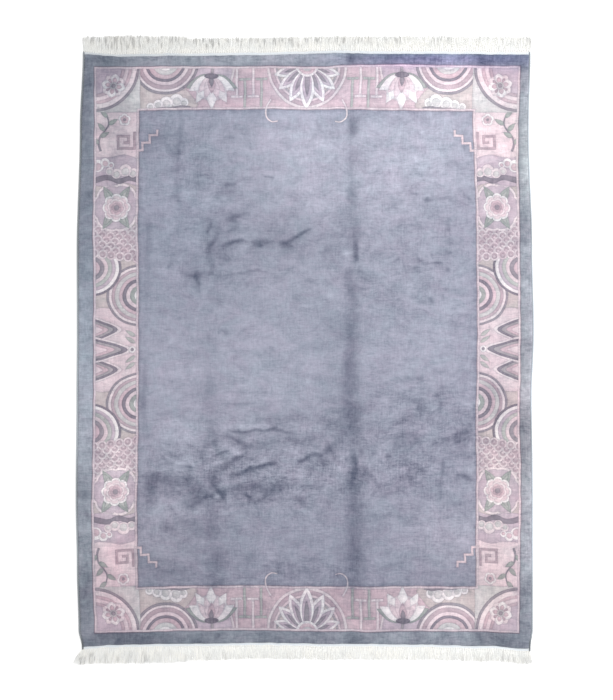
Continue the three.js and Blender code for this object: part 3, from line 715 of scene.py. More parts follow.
def from_line(x, y, x1, y1, x2, y2):
    """Where places lie along a line between two points, from 0 to 1, and their gap from it."""
    dx, dy = x2 - x1, y2 - y1
    share = np.clip(((x - x1) * dx + (y - y1) * dy) / (dx * dx + dy * dy), 0, 1)
    return share, x - x1 - share * dx, y - y1 - share * dy


def creased(x, y):
    """How much the creases lift or sink the pile: the highest ridge, less the deepest trough."""
    ridge, trough = np.zeros(len(x)), np.zeros(len(x))
    for x1, y1, x2, y2, spread, height in CREASES:
        _, gap_x, gap_y = from_line(x, y, x1, y1, x2, y2)
        lift = height * np.exp(-((np.hypot(gap_x, gap_y) / spread) ** 2))
        ridge, trough = np.maximum(ridge, lift), np.minimum(trough, lift)
    return ridge + trough


def pile_insets(x, y):
    """Distances of places on the pile from its nearer long edge and from its nearer end."""
    side = np.minimum(x - left_edge(y) - CLOTH_INSET, right_edge(y) - CLOTH_INSET - x)
    return side, np.minimum(y - near_end(x), far_end(x) - y)


def pile_height(x, y):
    side, end = pile_insets(x, y)
    flat = np.minimum(rounded(SIDE_ROUNDING, side), rounded(END_ROUNDING, end))
    fade = np.clip(np.minimum(side, end) / CREASE_MARGIN, 0, 1)
    return flat + eased(fade) * creased(x, y)


def smooth(points, steps=6):
    """A smooth path through a few points, or through rows that start with them."""
    ends = [points[0], *points, points[-1]]
    path = []
    for k in range(1, len(ends) - 2):
        a, b, c, d = (Vector(p) for p in ends[k - 1 : k + 3])
        for step in range(steps):
            t = step / steps
            bend = (2 * a - 5 * b + 4 * c - d) * t * t + (3 * b - a - 3 * c + d) * t**3
            path.append(tuple((2 * b + (c - a) * t + bend) / 2))
    return path + [tuple(points[-1])]


def mark_on(x, y, run):
    """How much a mark's painted shade darkens the pile at some places, less its painted highlight."""
    rows = np.array(smooth(run, 3))
    rows[:, 2] += MARK_SOFTNESS
    tone = np.zeros(len(x))
    reach = MARK_REACH * rows[:, 2].max()
    low, high = rows[:, :2].min(0) - reach, rows[:, :2].max(0) + reach
    near = np.flatnonzero((x > low[0]) & (x < high[0]) & (y > low[1]) & (y < high[1]))
    dark, pale = np.zeros(len(near)), np.zeros(len(near))
    for (x1, y1, half1, depth1), (x2, y2, half2, depth2) in zip(rows, rows[1:]):
        share, gap_x, gap_y = from_line(x[near], y[near], x1, y1, x2, y2)
        half, depth = half1 + (half2 - half1) * share, depth1 + (depth2 - depth1) * share
        away = np.hypot(gap_x, gap_y) / half
        beside = np.sign(gap_x * (y2 - y1) - gap_y * (x2 - x1)) * away + HIGHLIGHT_PLACE
        shade = MARK_SHADE * np.exp(-((away / SHADE_WIDTH) ** 2))
        found = depth * (MARK_CORE * np.exp(-(away**2)) + shade)
        dark = np.where(np.abs(found) > np.abs(dark), found, dark)
        pale = np.maximum(pale, depth * np.exp(-(beside**2)) * (away < HIGHLIGHT_REACH))
    tone[near] = dark - PAINTED_HIGHLIGHT * pale
    return tone


def nearness(x, y, middle_x, middle_y, across, up):
    return np.exp(-(((x - middle_x) / across) ** 2) - ((y - middle_y) / up) ** 2)


def band_tone(x, y):
    """Tone of the plain band, which is 1 inside it, and how far places lie in it."""
    side_gap, end_gap = np.abs(x - STRAY_X) - OUTER_X, np.abs(y - STRAY_Y) - OUTER_Y
    on_side = np.clip(0.5 + (side_gap - end_gap) / BAND_MITRE, 0, 1)
    side = np.where(x < 0, along(SIDE_TONES, 1, y), along(SIDE_TONES, 2, y))
    end = np.where(y > 0, along(END_TONES, 1, x), along(END_TONES, 2, x))
    within = np.clip(np.maximum(side_gap, end_gap) / GUARD - 1, 0, 1)
    return 1 + within * (side * on_side + end * (1 - on_side) - 1), within


def lay_of_pile(x, y):
    """Tone of the pile from the way it lies, with painted light and shade of its folds, long edges
    and far end, and its mottling: 1 is plain, less is darker.
    """
    tone, band = band_tone(x, y)
    mottling = 1 + BAND_MOTTLING * band
    stray_x = uneven(x, x, y, (7, 90, 1), (4, 27, 2))
    stray_y = uneven(y, x, y, (6, 80, 3), (4, 24, 4))
    break_up = uneven(1, x, y, (0.14, 37, 5), (0.14, 15, 6))
    # Painted shade of the folds and rumples, with painted highlights beside them
    for run in MARKS:
        tone -= MARK_DEPTH * mark_on(stray_x, stray_y, run) * break_up
    # Broad patches: painted light and shade of the lay with tone that differs at random, and mottling
    for *place, lift, ruffle in CLOUDS:
        tone += lift * nearness(x, y, *place)
        mottling += ruffle * nearness(x, y, *place)
    tone = np.where(tone < 1, 1 - DARKEST * np.tanh((1 - tone) / DARKEST), tone)
    # Painted light on the pile's rounded shoulders along the long edges
    tone *= 1 + LEFT_RIM_LIGHT * np.exp(-(((x - left_edge(y)) / RIM_WIDTH) ** 2))
    tone *= 1 + RIGHT_RIM_LIGHT * np.exp(-(((right_edge(y) - x) / RIM_WIDTH) ** 2))
    # Painted light: lighter towards the far end, darker towards the near one
    return tone * (1 + FAR_END_LIGHT * y / HALF_LENGTH), mottling


def cast_over(x, y):
    """Colours by which the dyes are multiplied."""
    cast = np.ones((len(x), 3))
    for *place, red, green, blue in CASTS:
        cast *= 1 + nearness(x, y, *place)[:, None] * (np.array([red, green, blue]) - 1)
    return cast


def wobble(along_line, beside_line, distances):
    """How far a line knotted by hand sways at some places along it."""
    long, slow, short = distances
    swing = np.sin(along_line / long + beside_line / slow)
    return HAND_WOBBLE * swing * np.cos(along_line / short)


def strayed(points):
    """Places of the drawn border as they came out in the knotting."""
    x, y = points[:, 0], points[:, 1]
    to_right = np.clip((x / OUTER_X + 1) / 2, 0, 1)
    to_far = np.clip((y / OUTER_Y + 1) / 2, 0, 1)
    left, right = along(SIDE_STRAY, 1, y), along(SIDE_STRAY, 2, y)
    far, near = along(END_STRAY, 1, x), along(END_STRAY, 2, x)
    inner_x = along(INNER_STRAY, 2, y) * np.interp(x, (0, INNER_X, OUTER_X), (0, 1, 0))
    inner_y = along(INNER_STRAY, 1, x) * np.interp(y, (0, INNER_Y, OUTER_Y), (0, 1, 0))
    shift_x = STRAY_X + left + (right - left) * to_right + wobble(y, x, WOBBLES_ACROSS) + inner_x
    shift_y = STRAY_Y + near + (far - near) * to_far + wobble(x, y, WOBBLES_ALONG) + inner_y
    return points + np.column_stack([shift_x, shift_y])


def unstrayed(points):
    """Places on the drawing that come out at these places on the rug."""
    drawn = points.copy()
    for _ in range(4):
        drawn += points - strayed(drawn)
    return drawn


# ---------------------------------------------------------------- drawing the border


def turned(points, degrees, x=0.0, y=0.0):
    """Points turned about zero and then moved."""
    c, s = math.cos(math.radians(degrees)), math.sin(math.radians(degrees))
    return [(x + px * c - py * s, y + px * s + py * c) for px, py in points]


def oval(x, y, across, up=None, points=28):
    """An ellipse about (x, y), by its half widths."""
    up = across if up is None else up
    ring = [math.tau * k / points for k in range(points)]
    return [(x + across * math.cos(a), y + up * math.sin(a)) for a in ring]


def petal(x, y, length, width, turn, fullness=0.75, points=14):
    """A pointed petal or leaf from its base at (x, y)."""
    side = []
    for k in range(points + 1):
        share = k / points
        half = width / 2 * math.sin(math.pi * share**fullness) ** 0.85
        side.append((length * share, half))
    return turned(side + [(u, -v) for u, v in reversed(side[1:-1])], turn, x, y)


def blossom(x, y, radius, petals, depth=0.2, turn=0.0, points=12):
    """A ring of round petals as one lobed outline."""
    ring = []
    for k in range(petals * points):
        a = math.tau * k / (petals * points)
        reach = radius * (1 - depth + depth * abs(math.cos(petals * a / 2)) ** 0.6)
        ring.append((reach * math.cos(a), reach * math.sin(a)))
    return turned(ring, turn, x, y)


def yarn(points, width, tip=None):
    """A line of some width along a path, with mitred corners."""
    tip = width if tip is None else tip
    left, right = [], []
    last = len(points) - 1
    for k, (x, y) in enumerate(points):
        ax, ay = points[max(k - 1, 0)]
        bx, by = points[min(k + 1, last)]
        before = math.atan2(y - ay, x - ax) if k else math.atan2(by - y, bx - x)
        after = math.atan2(by - y, bx - x) if k < last else before
        bend = math.remainder(after - before, math.tau) / 2
        across = before + bend + math.pi / 2
        half = (width + (tip - width) * k / last) / 2 / max(math.cos(bend), 0.5)
        left.append((x + half * math.cos(across), y + half * math.sin(across)))
        right.append((x - half * math.cos(across), y - half * math.sin(across)))
    return left + right[::-1]


def stepped(x, y, moves):
    """A path of straight runs: each move is (across, up)."""
    path = [(x, y)]
    for across, up in moves:
        x, y = x + across, y + up
        path.append((x, y))
    return path


def rings(across, up, *dyes):
    """Ovals inside each other: each is a dye and a radius."""
    return [(dye, oval(0, 0, radius * across, radius * up, 44)) for dye, radius in dyes]


def blossoms(petals, depth, turn, *dyes):
    return [(dye, blossom(0, 0, radius, petals, depth, turn)) for dye, radius in dyes]


def lotus():
    """A lotus that opens towards +Y, on two leaves and a stem."""
    motif = [("grey", yarn([(0, 4), (3, -46)], 12))]
    for side in (-1, 1):
        motif.append(("moss", petal(0, -4, 128, 54, 90 - side * 64)))
        motif.append(("sage", petal(0, -4, 98, 26, 90 - side * 64)))
    for spread, length, width in ((58, 120, 54), (30, 138, 56)):
        for side in (-1, 1):
            motif.append(("ivory", petal(0, 0, length, width, 90 - side * spread)))
    motif.append(("ivory", petal(0, 0, 150, 58, 90)))
    for spread, length in ((40, 96), (16, 108)):
        for side in (-1, 1):
            motif.append(("petal", petal(0, 0, length, 38, 90 - side * spread)))
    motif.append(("rose", petal(0, 0, 78, 34, 90)))
    motif.append(("slate", petal(0, 0, 46, 22, 90)))
    motif.append(("shadow", oval(0, -4, 32, 13)))
    return motif


def peony():
    """An open peony on four leaves."""
    motif = []
    for turn in (58, 122, 238, 302):
        motif.append(("moss", petal(0, 0, 128, 50, turn)))
        motif.append(("sage", petal(0, 0, 104, 22, turn)))
    motif += blossoms(8, 0.17, 0, ("ivory", 72), ("petal", 61))
    motif += blossoms(6, 0.17, 15, ("blush", 47), ("rose", 37))
    motif += blossoms(5, 0.17, 0, ("mauve", 25))
    return motif + [("slate", oval(0, 0, 13))]


def rosette(radius=62):
    """Eight round petals, four over four, about a small boss."""
    motif = []
    for first, outer, inner in ((45, "blush", "mauve"), (0, "ivory", "rose")):
        for turn in range(first, first + 360, 90):
            motif.append((outer, petal(0, 0, radius, radius * 0.72, turn, 1.5)))
            motif.append((inner, petal(0, 0, radius * 0.7, radius * 0.36, turn, 1.5)))
    motif.append(("silver", oval(0, 0, radius * 0.3)))
    motif.append(("slate", oval(0, 0, radius * 0.18)))
    return motif


def cloud_heads(lobes, pale="blush", deep="silver"):
    """Round heads of cloud in a row, each with a deeper heart."""
    motif = [(pale, oval(x, y, radius)) for x, y, radius in lobes]
    return motif + [(deep, oval(x, y - radius * 0.16, radius * 0.58)) for x, y, radius in lobes]


def sprig(length=210, leaves=6):
    """A bending stem along +Y with leaves to both sides."""
    stem = [(18 * math.sin(k * 1.15), length * k / leaves) for k in range(leaves + 1)]
    motif = [("slate", yarn(smooth(stem), 11, 5))]
    for k, (x, y) in enumerate(stem[1:-1]):
        motif.append(("moss", petal(x, y, 54, 24, 142 if k % 2 else 38)))
    return motif


def peak(reach, half):
    """A steep hill of nested slopes that rises along +Y."""
    motif = []
    slopes = ("blush", 1.16), ("shadow", 1.0), ("grey", 0.82), ("rose", 0.62), ("petal", 0.4)
    for dye, size in slopes:
        rise, foot = reach * size, half * size
        flank = foot * 0.66, rise * 0.42
        slope = [(-foot, -12), (-flank[0], flank[1]), (0, rise), flank, (foot, -12)]
        motif.append((dye, smooth(slope, 5)))
    return motif


def half_medallion():
    """Half a medallion of pointed petals in rings, with its petals towards -Y."""
    halo = ("blush", 206), ("mauve", 192), ("petal", 172), ("grey", 160), ("greige", 150)
    layers = ("ivory", 232, 74), ("lilac", 200, 48), ("slate", 160, 26)
    motif = rings(1, 1.12, *halo)
    for spread in (72, 48, 24, 0):
        for side in (-1, 1) if spread else (1,):
            grow = 1 - spread / 300
            for dye, length, width in layers:
                turn = side * spread - 90
                motif.append((dye, petal(0, 0, length * grow, width * grow, turn, 1.15)))
    return motif + rings(1, 1, ("ivory", 58), ("rose", 46), ("silver", 28), ("slate", 14))


class Chart:
    """The figures of one quarter of the border, each over those before it."""

    def __init__(self):
        self.figures = []  # dye, outline, whether it may lie over the field

    def lay(self, dye, *outlines, over=False):
        for outline in outlines:
            self.figures.append((dye, np.array(outline, float), over))

    def place(self, motif, x=0.0, y=0.0, turn=0.0, size=1.0, over=False):
        for dye, outline in motif:
            grown = [(px * size, py * size) for px, py in outline]
            self.lay(dye, turned(grown, turn, x, y), over=over)


def draw_end_band(chart):
    """Half of the figured band at an end, from the middle of the rug to the corner."""
    chart.lay("rose", [(-20, 1200), (900, 1200), (900, 1450), (-20, 1450)])
    bank = [(900, 1204), (700, 1204), (560, 1228), (590, 1290), (640, 1350), (600, 1400)]
    chart.lay("greige", smooth([*bank, (560, 1450), (900, 1450)], 5))
    chart.place(half_medallion(), 0, 1446)
    tendril = [(182, 1262), (206, 1216), (204, 1172), (176, 1146), (146, 1150)]
    chart.lay("blush", yarn(smooth(tendril), 9, 6), over=True)
    for k, x in enumerate((232, 274, 316, 358)):
        foot, bar, dye = ((1212, 1372, "sage"), (1440, 1280, "blush"))[k % 2]
        chart.lay(dye, yarn([(x, foot), (x, bar)], 13), yarn([(x - 30, bar), (x + 30, bar)], 13))
    chart.place(rings(1, 1.62, ("blush", 118), ("lilac", 106)), 486, 1446)
    chart.place(lotus(), 486, 1384, 180, 1.14, over=True)
    water = [("slate", 170), ("blush", 156), ("mauve", 144), ("petal", 122), ("shadow", 104)]
    water += [("rose", 90), ("silver", 68), ("ivory", 46), ("grey", 26)]
    chart.place(rings(1, 1, *water), 722, 1462)
    heads = (628, 1250, 24), (664, 1262, 34), (716, 1250, 32), (760, 1242, 24), (798, 1232, 20)
    chart.place(cloud_heads(heads, "ivory"))
    shore = [(596, 1222), (640, 1230), (690, 1224), (750, 1222), (826, 1218)]
    chart.lay("slate", yarn(smooth(shore), 13, 5))


def draw_waves_and_hills(chart):
    """Rolling water to both sides of the band, and hills that rise in its middle."""
    shore = [(1090, -20), (1090, 190), (1000, 210), (940, 176), (850, 150), (850, -20)]
    chart.lay("petal", smooth(shore, 5))
    inner = [("slate", 178), ("blush", 166), ("mauve", 152), ("silver", 136), ("rose", 114)]
    inner += [("shadow", 96), ("petal", 78), ("moss", 58), ("ivory", 36)]
    outer = [("shadow", 158), ("ivory", 146), ("lilac", 128), ("sage", 110), ("petal", 90)]
    outer += [("slate", 70), ("rose", 48), ("ivory", 24)]
    chart.place(rings(1, 0.88, *inner), 842, 274)
    chart.place(rings(1, 0.9, *outer), 1100, 416)
    chart.place(peak(126, 62), 1086, 102, 90)
    chart.place(peak(176, 62), 1086, 0, 90)
    chart.place(rings(1, 1, ("ivory", 17), ("slate", 8)), 888, 0)
    for y in (32, 66):
        chart.lay("sage", petal(872, y, 60, 20, 34))


def draw_scales(chart):
    """Rows of round scales, each row over the next."""
    patch = [(850, 436), (960, 500), (1090, 524), (1090, 640), (970, 630), (850, 610)]
    chart.lay("mauve", smooth(patch, 5))
    for row in range(7):
        for column in range(6):
            x = 864 + 43 * column + 21 * (row % 2)
            y = 606 - 24 * row + 0.14 * (x - INNER_X)
            chart.lay("blush" if (row + column) % 3 else "petal", oval(x, y, 24, points=20))
            chart.lay("mauve", oval(x, y, 15, points=16))
            chart.lay("petal", oval(x, y - 2, 7, points=10))


def draw_side_band(chart):
    """Half of the figured band along a side, from the middle of the rug to the corner."""
    chart.lay("greige", [(850, -20), (1090, -20), (1090, 1230), (850, 1230)])
    draw_waves_and_hills(chart)
    draw_scales(chart)
    chart.place(blossoms(6, 0.1, 0, ("blush", 128), ("lilac", 115)), 966, 722)
    chart.place(peony(), 966, 722)
    sky = [(850, 826), (930, 846), (1010, 832), (1090, 850), (1090, 1000), (850, 980)]
    chart.lay("lilac", smooth(sky, 5))
    upper = [(846, 842), (900, 858), (950, 842), (1010, 862), (1092, 844)]
    lower = [(1092, 870), (1010, 888), (950, 870), (900, 884), (846, 870)]
    chart.lay("shadow", smooth(upper + lower))
    chart.place(cloud_heads(((884, 898, 24), (924, 910, 32), (968, 896, 26), (1004, 908, 20))))
    heads = (1066, 934, 32), (1028, 950, 24), (998, 940, 16)
    chart.place(cloud_heads(heads, "ivory", "rose"))
    ground = [(850, 966), (930, 990), (1010, 978), (1090, 1004), (1090, 1240), (850, 1240)]
    chart.lay("petal", smooth(ground, 4))
    key = stepped(878, 1106, [(0, -84), (84, 0), (0, 62), (-54, 0), (0, -32), (26, 0)])
    chart.lay("mauve", yarn(key, 12))
    chart.place(sprig(), 1050, 1008, 8)
    chart.place(blossoms(5, 0.22, 18, ("ivory", 32), ("rose", 21)), 930, 1168)
    chart.lay("slate", oval(930, 1168, 7))
    stair = stepped(872, 1010, [(-34, 0), (0, 38), (-38, 0), (0, 38), (-38, 0), (0, 28)])
    chart.lay("petal", yarn(stair, 12), over=True)


def draw_corner(chart):
    """The square where two bands meet: a fan of rings and a rosette."""
    chart.lay("silver", [(850, 1206), (1090, 1206), (1090, 1446), (850, 1446)])
    fan = ("slate", 238), ("blush", 224), ("rose", 200), ("petal", 184), ("mauve", 164)
    chart.place(rings(1, 1, *fan, ("lilac", 148)), 1090, 1446)
    chart.place(rosette(), 986, 1342, 12)


GROUNDS = 4  # number of rectangles that the figures of the band lie on


def rectangle(x, y):
    return np.array([(-1, -1), (x, -1), (x, y), (-1, y)], float)


def clipped(outline, limit_x, limit_y):
    """The part of an outline in the quarter from (0, 0) to the limits, or None."""
    for axis, limit, sign in ((0, 0, 1), (1, 0, 1), (0, limit_x, -1), (1, limit_y, -1)):
        kept = []
        for k in range(len(outline)):
            a, b = outline[k - 1], outline[k]
            over_a, over_b = sign * (a[axis] - limit), sign * (b[axis] - limit)
            if (over_a < 0) != (over_b < 0):
                kept.append(a + (b - a) * (over_a / (over_a - over_b)))
            if over_b >= 0:
                kept.append(b)
        if len(kept) < 3:
            return None
        outline = np.array(kept)
    return outline


def inside(points, outline):
    """Which of the points lie inside an outline."""
    x, y = points[:, 0], points[:, 1]
    found = np.zeros(len(points), bool)
    for (x1, y1), (x2, y2) in zip(outline, np.roll(outline, -1, axis=0)):
        if y1 != y2:
            found ^= ((y1 > y) != (y2 > y)) & (x < (x2 - x1) * (y - y1) / (y2 - y1) + x1)
    return found


def figures_over(points, figures):
    """The number of the topmost figure at each point of the first quarter."""
    top = np.zeros(len(points), int)
    for number, (_, outline) in enumerate(figures):
        low, high = outline.min(0), outline.max(0)
        near = np.flatnonzero(((points >= low) & (points <= high)).all(1))
        top[near[inside(points[near], outline)]] = number
    return top


def all_figures():
    """Every figure of a quarter of the rug as (dye, outline), each over those before it."""
    chart = Chart()
    draw_end_band(chart)
    draw_side_band(chart)
    draw_corner(chart)
    within = OUTER_X - GUARD, OUTER_Y - GUARD
    figures = [
        ("plain_band", rectangle(2 * HALF_WIDTH, 2 * HALF_LENGTH)),
        ("guard_shade", rectangle(OUTER_X + GUARD_SHADE, OUTER_Y + GUARD_SHADE)),
        ("guard", rectangle(OUTER_X + GUARD, OUTER_Y + GUARD)),
        ("rose", rectangle(*within)),
    ]
    figures += [(dye, clipped(outline, *within)) for dye, outline, _ in chart.figures]
    figures += [
        ("guard", rectangle(INNER_X + GUARD, INNER_Y + GUARD)),
        ("guard_shade", rectangle(INNER_X - GUARD, INNER_Y - GUARD)),
        ("field", rectangle(INNER_X - GUARD_SHADE, INNER_Y - GUARD_SHADE)),
    ]
    figures += [(dye, clipped(line, *within)) for dye, line, over in chart.figures if over]
    return [(dye, outline) for dye, outline in figures if outline is not None]


def plain_runs(outline, slack=0.25):
    """An outline without the points that its shape doesn't need."""
    first, far = 0, int(np.argmax(((outline - outline[0]) ** 2).sum(1)))
    kept = {first, far}
    spans = [(first, far), (far, len(outline))]
    ring = np.vstack([outline, outline[:1]])
    while spans:
        start, end = spans.pop()
        if end - start < 2:
            continue
        run = ring[start + 1 : end]
        _, gap_x, gap_y = from_line(run[:, 0], run[:, 1], *ring[start], *(ring[end] + 1e-6))
        away = np.hypot(gap_x, gap_y)
        worst = int(np.argmax(away))
        if away[worst] > slack:
            middle = start + 1 + worst
            kept.add(middle)
            spans += [(start, middle), (middle, end)]
    return ring[sorted(kept)]


def outline_runs(figures, step):
    """The short straight runs of all outlines of a quarter that no later figure covers."""
    starts, ends, owners = [], [], []
    for number, (_, outline) in enumerate(figures[1:], start=1):
        corners = plain_runs(outline)
        for a, b in zip(corners, np.roll(corners, -1, axis=0)):
            count = max(1, math.ceil(math.dist(a, b) / step))
            places = a + (b - a) * np.linspace(0, 1, count + 1)[:, None]
            starts.append(places[:-1])
            ends.append(places[1:])
            owners.append(np.full(count, number))
    starts, ends, owners = np.vstack(starts), np.vstack(ends), np.concatenate(owners)
    middles = (starts + ends) / 2
    seen = np.zeros(len(owners), bool)
    for places in (middles, starts, ends):
        seen |= figures_over(places, figures) <= owners
    on_axis = (np.maximum(starts, ends) < 0.5).any(1)
    edge = np.array([OUTER_X - GUARD, OUTER_Y - GUARD])
    on_edge = (np.abs(middles - edge) < 0.01).any(1) & (owners >= GROUNDS)
    kept = seen & ~on_axis & ~on_edge
    return starts[kept], ends[kept]


# ---------------------------------------------------------------- the knotted cloth


def pile_places(across, up):
    """Places on the cloth by their distances from the left edge and the near end of its pile."""
    straight_x = across - HALF_WIDTH + CLOTH_INSET
    near, far = near_end(straight_x), far_end(straight_x)
    y = near + (far - near) * up / PILE_LENGTH
    left, right = left_edge(y) + CLOTH_INSET, right_edge(y) - CLOTH_INSET
    x = left + (right - left) * across / PILE_WIDTH
    return np.column_stack([x, y])


def pile_rim(inset, step):
    """A loop of places at a distance from the edge of the pile."""
    right, far = PILE_WIDTH - inset, PILE_LENGTH - inset
    corners = np.array([(inset, inset), (right, inset), (right, far), (inset, far)])
    loop = []
    for a, b in zip(corners, np.roll(corners, -1, axis=0)):
        count = math.ceil(math.dist(a, b) / step)
        loop.append(a + (b - a) * np.arange(count)[:, None] / count)
    loop = np.vstack(loop)
    return pile_places(loop[:, 0], loop[:, 1])


JITTER = 0.15  # how far points of the open pile are out of line, as a share of their distance


def grid_over(low, high, gap, rng):
    """Staggered rows of places over a rectangle, each a little out of line."""
    rows = np.arange(low[1], high[1], gap * 0.9)
    columns = np.arange(low[0], high[0], gap)
    x, y = np.meshgrid(columns, rows)
    x[1::2] += gap / 2
    places = np.column_stack([x.ravel(), y.ravel()])
    return places + rng.uniform(-JITTER, JITTER, places.shape) * gap


def places_along(line, reach, gap):
    """Rows of places to both sides of a line between two points."""
    start, end = np.array(line[:2], float), np.array(line[2:], float)
    length = math.dist(start, end)
    ahead = (end - start) / length
    aside = np.array([-ahead[1], ahead[0]])
    s = np.arange(-reach, length + reach, gap)
    t = np.arange(-reach, reach + gap / 2, gap)
    s, t = (a.ravel() for a in np.meshgrid(s, t))
    return start + s[:, None] * ahead + t[:, None] * aside


def spaced(places, gap):
    """The places without those that share a cell of this size with another."""
    _, first = np.unique(np.floor(places / gap).astype(int), axis=0, return_index=True)
    return places[np.sort(first)]


def four_ways(places):
    """The places of a quarter in all four quarters."""
    return np.vstack([places * (sx, sy) for sx in (1, -1) for sy in (1, -1)])


class Outlines:
    """The visible outlines of the border, which can be searched by place."""

    spot_step = 2.0

    def __init__(self, figures, step):
        self.starts, self.ends = outline_runs(figures, step)
        spots, self.ahead = [], []
        for a, b in zip(self.starts, self.ends):
            length = math.dist(a, b)
            count = max(2, math.ceil(length / self.spot_step) + 1)
            spots.append(a + (b - a) * np.linspace(0, 1, count)[:, None])
            self.ahead += [(b - a) / (length + 1e-9)] * count
        self.spots, self.ahead = np.vstack(spots), np.array(self.ahead)
        self.tree = KDTree(len(self.spots))
        for k, (x, y) in enumerate(self.spots):
            self.tree.insert((x, y, 0), k)
        self.tree.balance()

    def distance(self, places):
        """How far places of the drawing are from the nearest outline."""
        found = [self.tree.find((x, y, 0))[1:] for x, y in np.abs(places)]
        nearest = np.array([k for k, _ in found])
        away = np.array([d for _, d in found])
        gap = np.abs(places) - self.spots[nearest]
        ahead = self.ahead[nearest]
        beside = np.abs(gap[:, 0] * ahead[:, 1] - gap[:, 1] * ahead[:, 0])
        return np.where(np.abs((gap * ahead).sum(1)) < self.spot_step, beside, away)

    def shoulders(self, width):
        """Places to both sides of the outlines, where the carving ends."""
        run = self.ends - self.starts
        aside = np.column_stack([-run[:, 1], run[:, 0]]) / np.linalg.norm(run, axis=1)[:, None]
        places = []
        for base in (self.starts, (self.starts + self.ends) / 2):
            places += [base + aside * width, base - aside * width]
        places = spaced(np.vstack(places), 1.9 * width)
        places = places[(places > 0).all(1)]
        return places[self.distance(places) > 0.82 * width]


def triangulated(loop, runs, places):
    """The points and triangles inside a loop, with an edge along every run."""
    starts, ends = runs
    points = [Vector(p) for p in np.vstack([loop, starts, ends, places])]
    count, many = len(loop), len(starts)
    edges = [(k, (k + 1) % count) for k in range(count)]
    edges += [(count + k, count + many + k) for k in range(many)]
    found = delaunay_2d_cdt(points, edges, [], 1, 0.02, False)
    points = np.array([tuple(p) for p in found[0]])
    triangles = np.array([f[:3] for f in found[2]])
    return points, triangles[inside(points[triangles].mean(1), loop)]


RIM_INSETS = (0, 1.2, 4, 9.5)  # loops of points round the pile, where its edge is rounded
EDGE_CLEAR = 14  # from the edge to the other points
PAST_ENDS = 20  # by which these are laid out past the uneven ends, before those outside are dropped
OUTLINE_CLEAR = 0.3  # from outlines to the other points, as a share of the distance between points
SHOULDER = 0.8  # where the points beside an outline are, as a share of the width of the carving
CLOSEST = 5.8  # between points of the open pile
CREASE_REACH, MARK_POINTS = 1.6, 2.1  # how far finer points go from creases and marks, in half widths
MARK_GAP, MARK_GAP_SHARE = 6.0, 0.6  # between those of a mark: at least, and by its half width


def open_places(pile_step, fine):
    """Places over the open pile, closer together at creases and marks if they are to be fine."""
    rng = np.random.default_rng(5)
    corner = np.array([HALF_WIDTH, HALF_LENGTH + PAST_ENDS])
    places = [grid_over(-corner, corner, pile_step, rng)]
    if fine:
        for *line, spread, _ in CREASES:
            places.append(places_along(line, CREASE_REACH * spread, spread / 2))
        for run in MARKS:
            for start, end in zip(run, run[1:]):
                half = (start[2] + end[2]) / 2
                line = (*start[:2], *end[:2])
                gap = max(MARK_GAP, MARK_GAP_SHARE * half)
                places.append(places_along(line, MARK_POINTS * half, gap))
    places = np.vstack(places)
    side, end = pile_insets(places[:, 0], places[:, 1])
    return places[np.minimum(side, end) > EDGE_CLEAR]


def knotted_cloth(step, pile_step, carving=None):
    """Places, triangles, the triangles' figures and dyes, and how deeply the places are carved.

    carving is the width to which outlines are carved, or None where the cloth is flat.
    """
    figures = all_figures()
    outlines = Outlines(figures, step)
    rims = [pile_rim(inset, step) for inset in (RIM_INSETS if carving else (0,))]
    loop = unstrayed(rims[0])
    places = [unstrayed(rim) for rim in rims[1:]]
    grid = spaced(unstrayed(open_places(pile_step, carving is not None)), CLOSEST)
    places.append(grid[outlines.distance(grid) > OUTLINE_CLEAR * pile_step])
    if carving:
        places.append(four_ways(outlines.shoulders(SHOULDER * carving)))
    runs = four_ways(outlines.starts), four_ways(outlines.ends)
    points, triangles = triangulated(loop, runs, np.vstack(places))
    owners = figures_over(np.abs(points[triangles].mean(1)), figures)
    dyes = np.array([DYE_NAMES.index(figures[k][0]) for k in owners])
    cut = np.clip(1 - outlines.distance(points) / carving, 0, 1) if carving else None
    return strayed(points), triangles, owners, dyes, cut


def sheet_mesh(name, points, heights, triangles):
    mesh = bpy.data.meshes.new(name)
    places = np.column_stack([points, heights]) * MM
    mesh.from_pydata(places.tolist(), [], triangles.tolist())
    return mesh


def mesh_of(bm, name):
    mesh = bpy.data.meshes.new(name)
    bm.to_mesh(mesh)
    bm.free()
    return mesh


def wall_order(part, first, count):
    """A key that keeps the parts of a sheet in order, and sorts those of its walls by their points."""
    if part.index < first:
        return part.index
    ends = sorted(vert.index for vert in part.verts)
    return first + ends[0] * count + ends[1]


def add_thickness(mesh, level):
    """Walls from the rim of an open sheet to a level, and one flat face that closes it there."""
    bm = bmesh.new()
    bm.from_mesh(mesh)
    sheet = len(bm.faces), len(bm.edges)
    rim = [edge for edge in bm.edges if edge.is_boundary]
    for part in bmesh.ops.extrude_edge_only(bm, edges=rim)["geom"]:
        if isinstance(part, bmesh.types.BMVert):
            part.co.z = level * MM
    # The order of new walls changes from run to run, and sorting them keeps the result the same
    bm.verts.index_update()
    for parts, first in zip((bm.faces, bm.edges), sheet):
        parts.index_update()
        parts.sort(key=lambda part: wall_order(part, first, len(bm.verts)))
    # Sorting moves the edges, so those of the open rim are looked up again
    rim = [edge for edge in bm.edges if edge.is_boundary]
    bmesh.ops.contextual_create(bm, geom=rim)
    if any(edge.is_boundary for edge in bm.edges):
        raise RuntimeError(f"{mesh.name} was left open")
    bmesh.ops.recalc_face_normals(bm, faces=bm.faces)
    bm.to_mesh(mesh)
    bm.free()


def values_of(parts, key, kind=float, width=1):
    """A value, or a row of them, for every part of a mesh."""
    values = np.zeros(width * len(parts), kind)
    parts.foreach_get(key, values)
    return values.reshape(-1, width) if width > 1 else values


def places_of(mesh):
    return values_of(mesh.vertices, "co", width=3) / MM


DIP_SPREAD = 0.022  # how much the wool of one figure differs in tone from that of another


